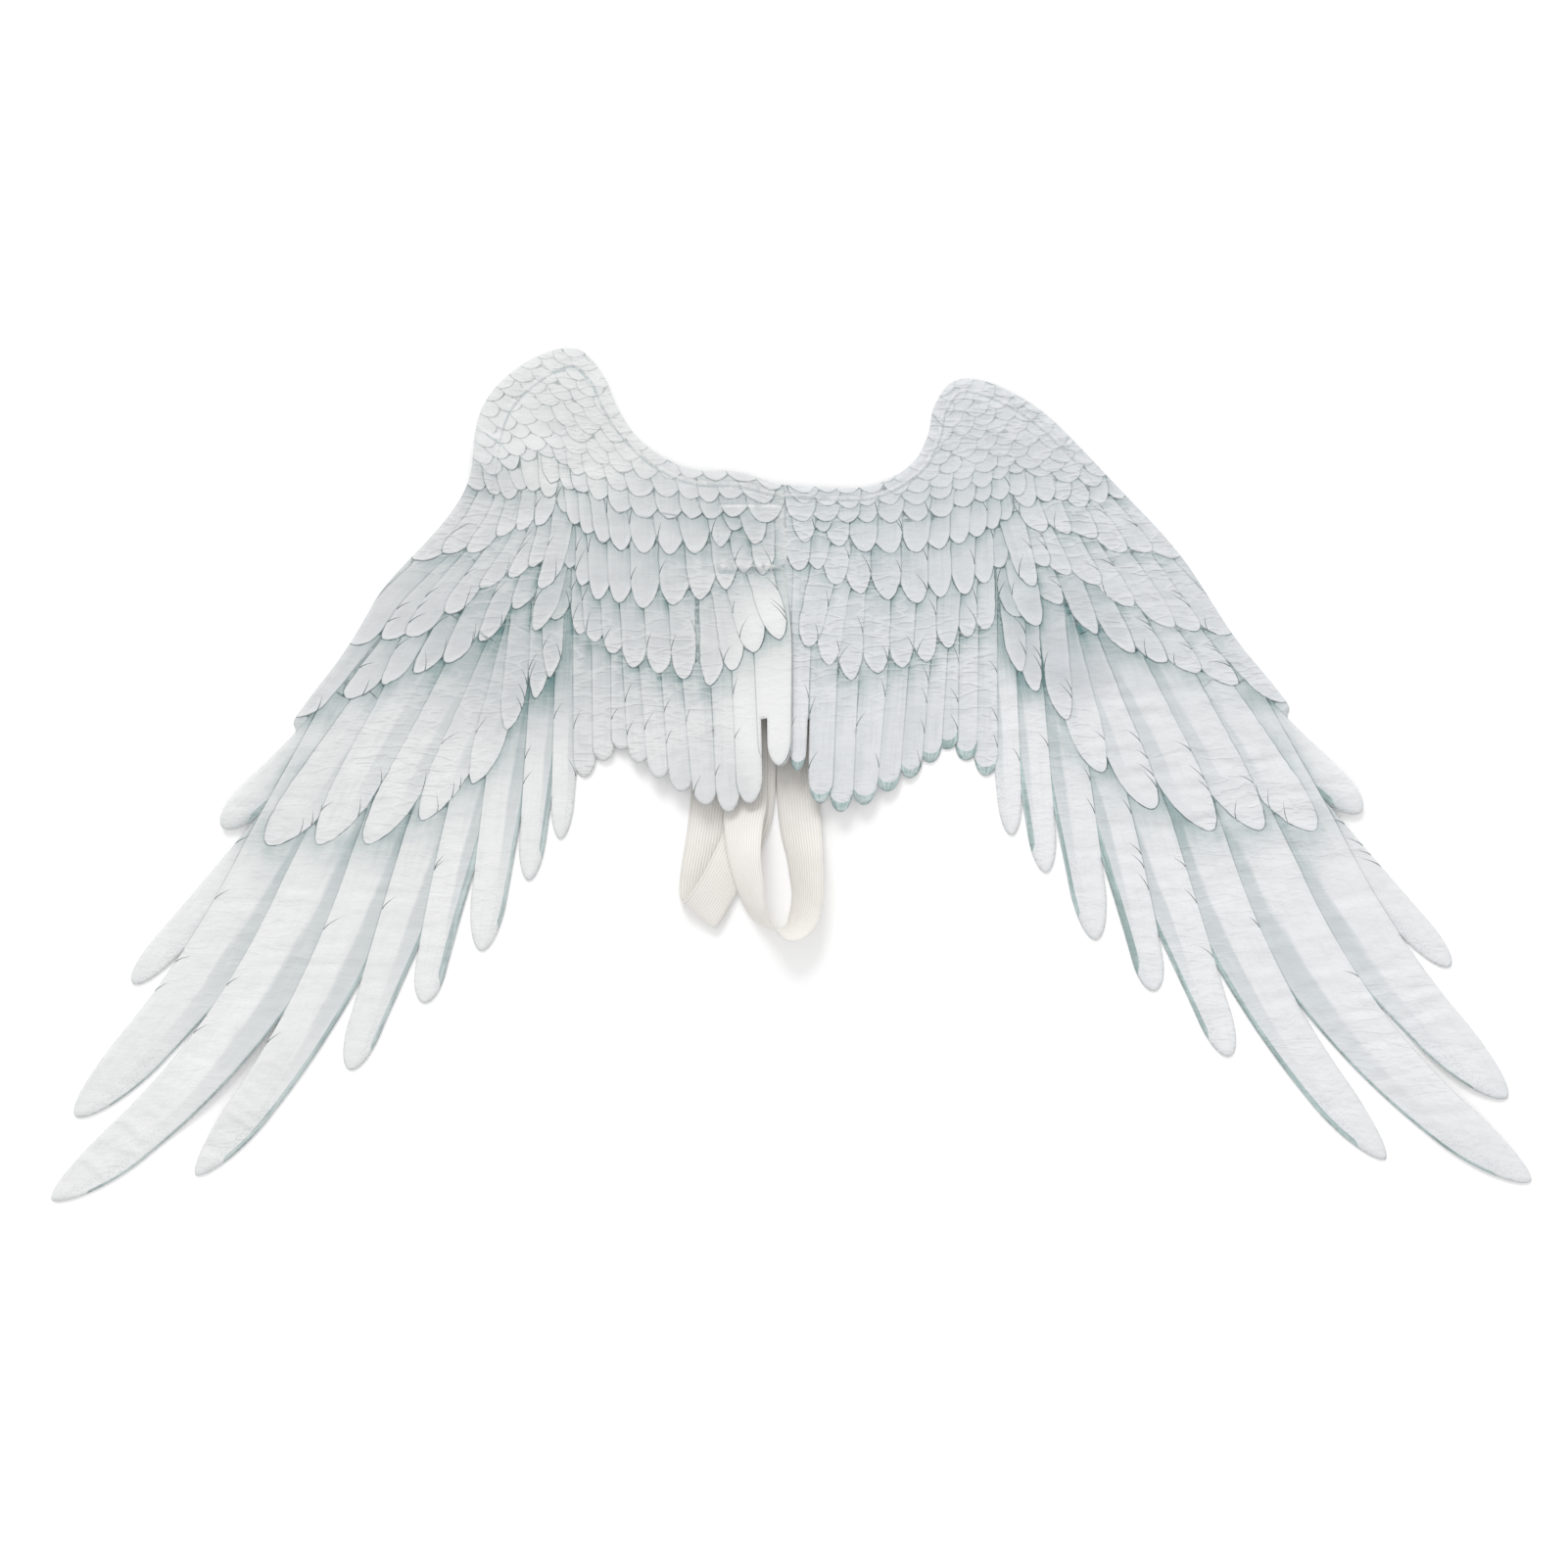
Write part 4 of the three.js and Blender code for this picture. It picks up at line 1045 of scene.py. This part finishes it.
# elastic arm loops: middle line, height of the low edge, and the turn and bank of the band in degrees
elastic = {"wide": 30, "thick": 1.5, "ribs": 15, "rib": 0.2, "perSpan": 12, "perRib": 6, "lowest": 0.05}
strapRows = {
    "left_strap": [
        (-38, 199, 3.6, 0, 0), (-41, 180, 3.2, 0, 0), (-45, 162, 1.4, 0, 0), (-47, 148, 0, 0, 0),
        (-50, 110, 0, 0, 0), (-54, 50, 0, 0, 0), (-56, -12, 0, -3, 0), (-59.5, -44, 0, -7, 0),
        (-63.5, -68, 0, -12, 0), (-66, -86, 0.3, -24, 0), (-67, -97, 2, -36, -4),
        (-65, -100, 5.4, -41, -12), (-59, -92, 6, -42, -20), (-50, -77, 3, -37, -22),
        (-40, -59, 2.5, -29, -9), (-31, -38, 2.3, -20, -1), (-26.5, -12, 1.9, -7, 0),
        (-25, 50, 1.8, 0, 0), (-23, 110, 1.8, 0, 0), (-21, 149, 1.8, 0, 0),
    ],
    "right_strap": [
        (-37, 149, 3.6, 0, 0), (-36, 110, 3.6, 0, 0), (-33, 50, 3.9, 0, 0), (-32, -12, 4.6, 0, 0),
        (-34, -36, 6.2, 0, 22), (-33.5, -58, 8, 4, 38), (-29.8, -77, 7.2, 12, 48),
        (-24.7, -96, 3, 27, 64), (-17.7, -105.5, 1, 47, 76), (-10.5, -110.7, 0, 68, 90),
        (-3.5, -112.5, 0, 92, 110), (3.7, -109, 0, 130, 127), (9.3, -99.7, 0, 156, 136),
        (11.4, -86, 0, 174, 138), (10.7, -72, 0, 183, 143), (9.5, -58, 0, 186, 150),
        (6.5, -36, 0, 187, 170), (4.5, -12, 0, 185, 180), (0, 50, 0, 184, 180),
        (-5.5, 110, 0, 185, 180), (-10, 150, 0, 188, 180), (-14, 168, 0.2, 190, 180),
        (-21, 199, 1.8, 190, 180),
    ],
}


def curvePoints(knots, perSpan):
    # uniform Catmull-Rom curve whose end knots are mirrored outwards
    k = np.array(knots, float)
    k = np.concatenate([[2 * k[0] - k[1]], k, [2 * k[-1] - k[-2]]])
    return splinePoints(k, perSpan)[perSpan:-perSpan]


def runLength(line):
    return np.concatenate([[0], np.cumsum(np.linalg.norm(np.diff(line, axis=0), axis=1))])


def makeStrap(name, rows, material):
    # ribbed band: a flat rounded profile with cosine ribs on both faces, carried along the route;
    # the band's width points along turn (about Z) and bank (out of the floor)
    rows = np.array(rows, float)
    bank = np.radians(rows[:, 4])
    centre = rows[:, :3].copy()
    centre[:, 2] += 0.5 * elastic["wide"] * np.abs(np.sin(bank))
    centre[:, 2] += 0.5 * elastic["thick"] * np.abs(np.cos(bank))
    line = curvePoints(centre, elastic["perSpan"])
    turn, bank = curvePoints(np.radians(rows[:, 3:]), elastic["perSpan"]).T
    across = np.c_[np.cos(bank) * np.cos(turn), np.cos(bank) * np.sin(turn), np.sin(bank)]
    tangent = np.gradient(line, axis=0)
    normal = np.cross(tangent, across)
    normal /= np.linalg.norm(normal, axis=1)[:, None]
    half = elastic["wide"] / 2
    s = np.linspace(-1, 1, elastic["ribs"] * elastic["perRib"] + 1)
    y = s * half
    rib = 0.5 - 0.5 * np.cos(2 * np.pi * (s + 1) / 2 * elastic["ribs"])
    z = (elastic["thick"] / 2 - elastic["rib"] * (1 - rib)) * np.clip((1 - s**12), 0, 1)**0.5
    profile = np.concatenate([np.c_[y, z], np.c_[y, -z][-2:0:-1]])
    points = line[:, None] + across[:, None] * profile[:, :1] + normal[:, None] * profile[:, 1:]
    points[:, :, 2] = np.maximum(points[:, :, 2], elastic["lowest"])
    n, m = points.shape[:2]
    i, j = np.meshgrid(np.arange(n - 1), np.arange(m), indexing="ij")
    k = (j + 1) % m
    faces = np.stack([i * m + j, i * m + k, (i + 1) * m + k, (i + 1) * m + j], 2).reshape(-1, 4)
    run = runLength(line)
    obj = makeMesh(name + "_elastic", points.reshape(-1, 3), faces, [material])
    at = faces.ravel()
    cornerValues(obj, "bandRun", np.c_[run[at // m], profile[at % m, 0], profile[at % m, 1]])
    closeEnds(obj, n, m)
    print(obj.name, "length", round(run[-1]), "mm")
    return obj


def closeEnds(obj, n, m):
    # the two cut ends of a band, each as one face
    work = bmesh.new()
    work.from_mesh(obj.data)
    work.verts.ensure_lookup_table()
    for start, way in ((0, -1), ((n - 1) * m, 1)):
        work.faces.new([work.verts[start + j] for j in range(m)][::way])
    bmesh.ops.recalc_face_normals(work, faces=work.faces)
    work.to_mesh(obj.data)
    work.free()


def elasticCloth(name):
    # woven elastic: off-white rib tops, painted shade in the grooves, a painted shadow towards the panel,
    # and a fine weft across the ribs
    material, tree, shader, place = newMaterial(name)
    along, aside, height = split(tree, "bandRun")
    mottle = noise(tree, place, 90.0, 3.0, 0.6)
    groove = step(tree, calc(tree, "ABSOLUTE", height), 0.72, 0.58)
    patchy = step(tree, mottle, 0.35, 0.7, 0.0, 0.5)
    color = tint(tree, patchy, paint(252, 249, 244), paint(245, 242, 237))
    # painted shade in the grooves between the ribs
    color = tint(tree, calc(tree, "MULTIPLY", groove, 0.5), color, paint(218, 215, 209))
    # painted shadow: the panel's shadow on the straps' upper part, greyer towards the panel
    panelShadowY = put(tree, "ShaderNodeSeparateXYZ", place).outputs[1]     # greyer towards the panel
    color = tint(tree, step(tree, panelShadowY, -0.05, 0.012, 0.0, 0.6), color, paint(196, 194, 190))
    weftAt = put(tree, "ShaderNodeCombineXYZ", along, calc(tree, "MULTIPLY", aside, 0.5), 0.0).outputs[0]
    weft = noise(tree, weftAt, 1.6, 2.0)
    bump = put(tree, "ShaderNodeBump", 0.5, 0.0004, None, weft)
    rough = step(tree, mottle, 0.3, 0.7, 0.8, 0.9)
    finishCloth(tree, shader, color, rough, bump, 0.2, 0.15)
    return material


elasticWhite = elasticCloth("elastic_white")
straps = [makeStrap(name, rows, elasticWhite) for name, rows in strapRows.items()]

# machine stitches, each a flattened rod that dips into the cloth at both ends
stitch = {"long": 3.1, "gap": 0.9, "wide": 0.6, "high": 0.4, "around": 8, "rings": 6,
          "round": 0.97, "lift": 0.6}


def makeStitches(name, line, heights, material):
    # evenly spaced rods along a polyline on the cloth: ring radius follows a half ellipse
    s = runLength(line)
    pitch = stitch["long"] + stitch["gap"]
    starts = np.arange(pitch / 2, s[-1] - pitch, pitch)
    t = np.linspace(-1, 1, stitch["rings"])
    at = starts[:, None] + (t + 1) / 2 * stitch["long"]
    middle = np.stack([np.interp(at, s, line[:, 0]), np.interp(at, s, line[:, 1])], 2)
    heading = middle[:, -1] - middle[:, 0]
    heading /= np.linalg.norm(heading, axis=1)[:, None]
    aside = np.c_[-heading[:, 1], heading[:, 0]]
    a = np.arange(stitch["around"]) * 2 * np.pi / stitch["around"]
    radius = np.sqrt(1 - (stitch["round"] * t)**2)
    spread = stitch["wide"] / 2 * radius[:, None] * np.cos(a)
    flat = middle[:, :, None] + aside[:, None, None] * spread[None, :, :, None]
    rise = heights(middle.reshape(-1, 2)).reshape(middle.shape[:2])
    up = rise[:, :, None] + stitch["high"] / 2 * (radius[:, None] * (stitch["lift"] + np.sin(a)))[None]
    points = np.concatenate([flat, up[..., None]], 3)
    n, r, m = points.shape[:3]
    b, i, j = np.meshgrid(np.arange(n), np.arange(r - 1), np.arange(m), indexing="ij")
    k = (j + 1) % m
    first = b * r * m + i * m
    faces = np.stack([first + j, first + m + j, first + m + k, first + k], 3).reshape(-1, 4)
    # each end's ring of eight is closed by three quads
    quads = np.array([(0, 1, 2, 3), (0, 3, 4, 7), (4, 5, 6, 7)])
    ends = [first[:, 0, 0][:, None] + c[::-1] for c in quads]
    ends += [first[:, -1, 0][:, None] + m + c for c in quads]
    obj = makeMesh(name, points.reshape(-1, 3), np.concatenate([faces, *ends]), [material])
    print(name, n, "stitches")
    return obj


def surfaceHeights(obj):
    # height of the cloth under points given in millimetres, by casting rays straight down
    tree = BVHTree.FromObject(obj, bpy.context.evaluated_depsgraph_get())

    def heights(points):
        hits = [tree.ray_cast((x * mm, y * mm, 0.2), (0, 0, -1))[0] for x, y in points]
        return np.array([h.z / mm if h else 0.0 for h in hits])
    return heights


def offsetInside(line, distance):
    # the polyline moved to its right-hand side
    d = np.gradient(line, axis=0)
    d /= np.linalg.norm(d, axis=1)[:, None]
    return line + distance[:, None] * np.c_[d[:, 1], -d[:, 0]]


def threadCloth(name):
    material, tree, shader, place = newMaterial(name)
    twist = noise(tree, place, 1800.0, 1.0)
    color = tint(tree, twist, paint(208, 212, 215), paint(224, 226, 229))
    tree.links.new(color, shader.inputs["Base Color"])
    shader.inputs["Roughness"].default_value = 0.6
    return material


seamThread = threadCloth("seam_thread")
stitches = []
for wing, cloth in zip(wings, panels):
    line = hemLine(8)
    line = offsetInside(line, channelAt(wing, line[:, 0]))[2:]
    line = np.stack(place(wing, *line[line[:, 0] < panel["hemEnd"][1]].T), 1)
    stitches.append(makeStitches(wing["name"] + "_topstitch", line, surfaceHeights(cloth), seamThread))
(x0, x1), (y0, y1) = strapBox["area"]
boxLine = np.array([(x1, y0), (x0, y0), (x0, y1), (x1, y1)], float)
boxStitch = makeStitches("strap_box_stitch", boxLine, surfaceHeights(panels[0]), seamThread)

# pale floor, wide soft light from the neckline side, and a camera straight above
stage = {"floor": 24.0, "sun": 1.25, "sunElevation": 38, "sunTurn": 12, "sunSoft": 25, "sky": 0.93}
view = {"x": -5.2, "y": -7.3, "high": 4000, "covers": 1114.6, "sensor": 36}


def makeFloor():
    # one flat sheet on the z = 0 level, under everything
    half = stage["floor"] / 2 / mm
    material, tree, shader, place = newMaterial("pale_floor")
    cloud = noise(tree, place, 3.0, 2.0)
    color = tint(tree, cloud, (0.93, 0.93, 0.93, 1), (0.95, 0.95, 0.95, 1))
    tree.links.new(color, shader.inputs["Base Color"])
    shader.inputs["Roughness"].default_value = 0.9
    corners = np.array([(-half, -half, 0), (half, -half, 0), (half, half, 0), (-half, half, 0)])
    return makeMesh("floor", corners, np.array([[0, 1, 2, 3]]), [material])


floor = makeFloor()
sun = bpy.data.lights.new("key", "SUN")
sun.energy = stage["sun"]
sun.angle = math.radians(stage["sunSoft"])
sunObject = bpy.data.objects.new("key", sun)
sunObject.rotation_euler = (-math.radians(90 - stage["sunElevation"]), 0, math.radians(stage["sunTurn"]))
scene.collection.objects.link(sunObject)
world = bpy.data.worlds.new("studio")
scene.world = world
world.use_nodes = True
world.node_tree.nodes["Background"].inputs[0].default_value = (1, 1, 1, 1)
world.node_tree.nodes["Background"].inputs[1].default_value = stage["sky"]
scene.view_settings.view_transform = "Standard"

camera = bpy.data.cameras.new("above")
camera.sensor_width = view["sensor"]
camera.lens = view["sensor"] * view["high"] / view["covers"]
cameraObject = bpy.data.objects.new("above", camera)
cameraObject.location = (view["x"] * mm, view["y"] * mm, view["high"] * mm)
scene.collection.objects.link(cameraObject)
scene.camera = cameraObject

# hide the model solids that the cloths and straps stand for, and attach every piece to the root body; the
# numbers beside them are the size that each cloth and strap was cut to
for cloth, top, wing, area in zip(panels, stitches, wings, (0.129, 0.127)):
    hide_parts(wing["name"])
for strap, name, length in zip(straps, strapRows, (0.565, 0.598)):
    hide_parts(name)
for piece in [*panels, *straps, *stitches, boxStitch]:
    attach(piece, "root")

bpy.context.view_layer.update()
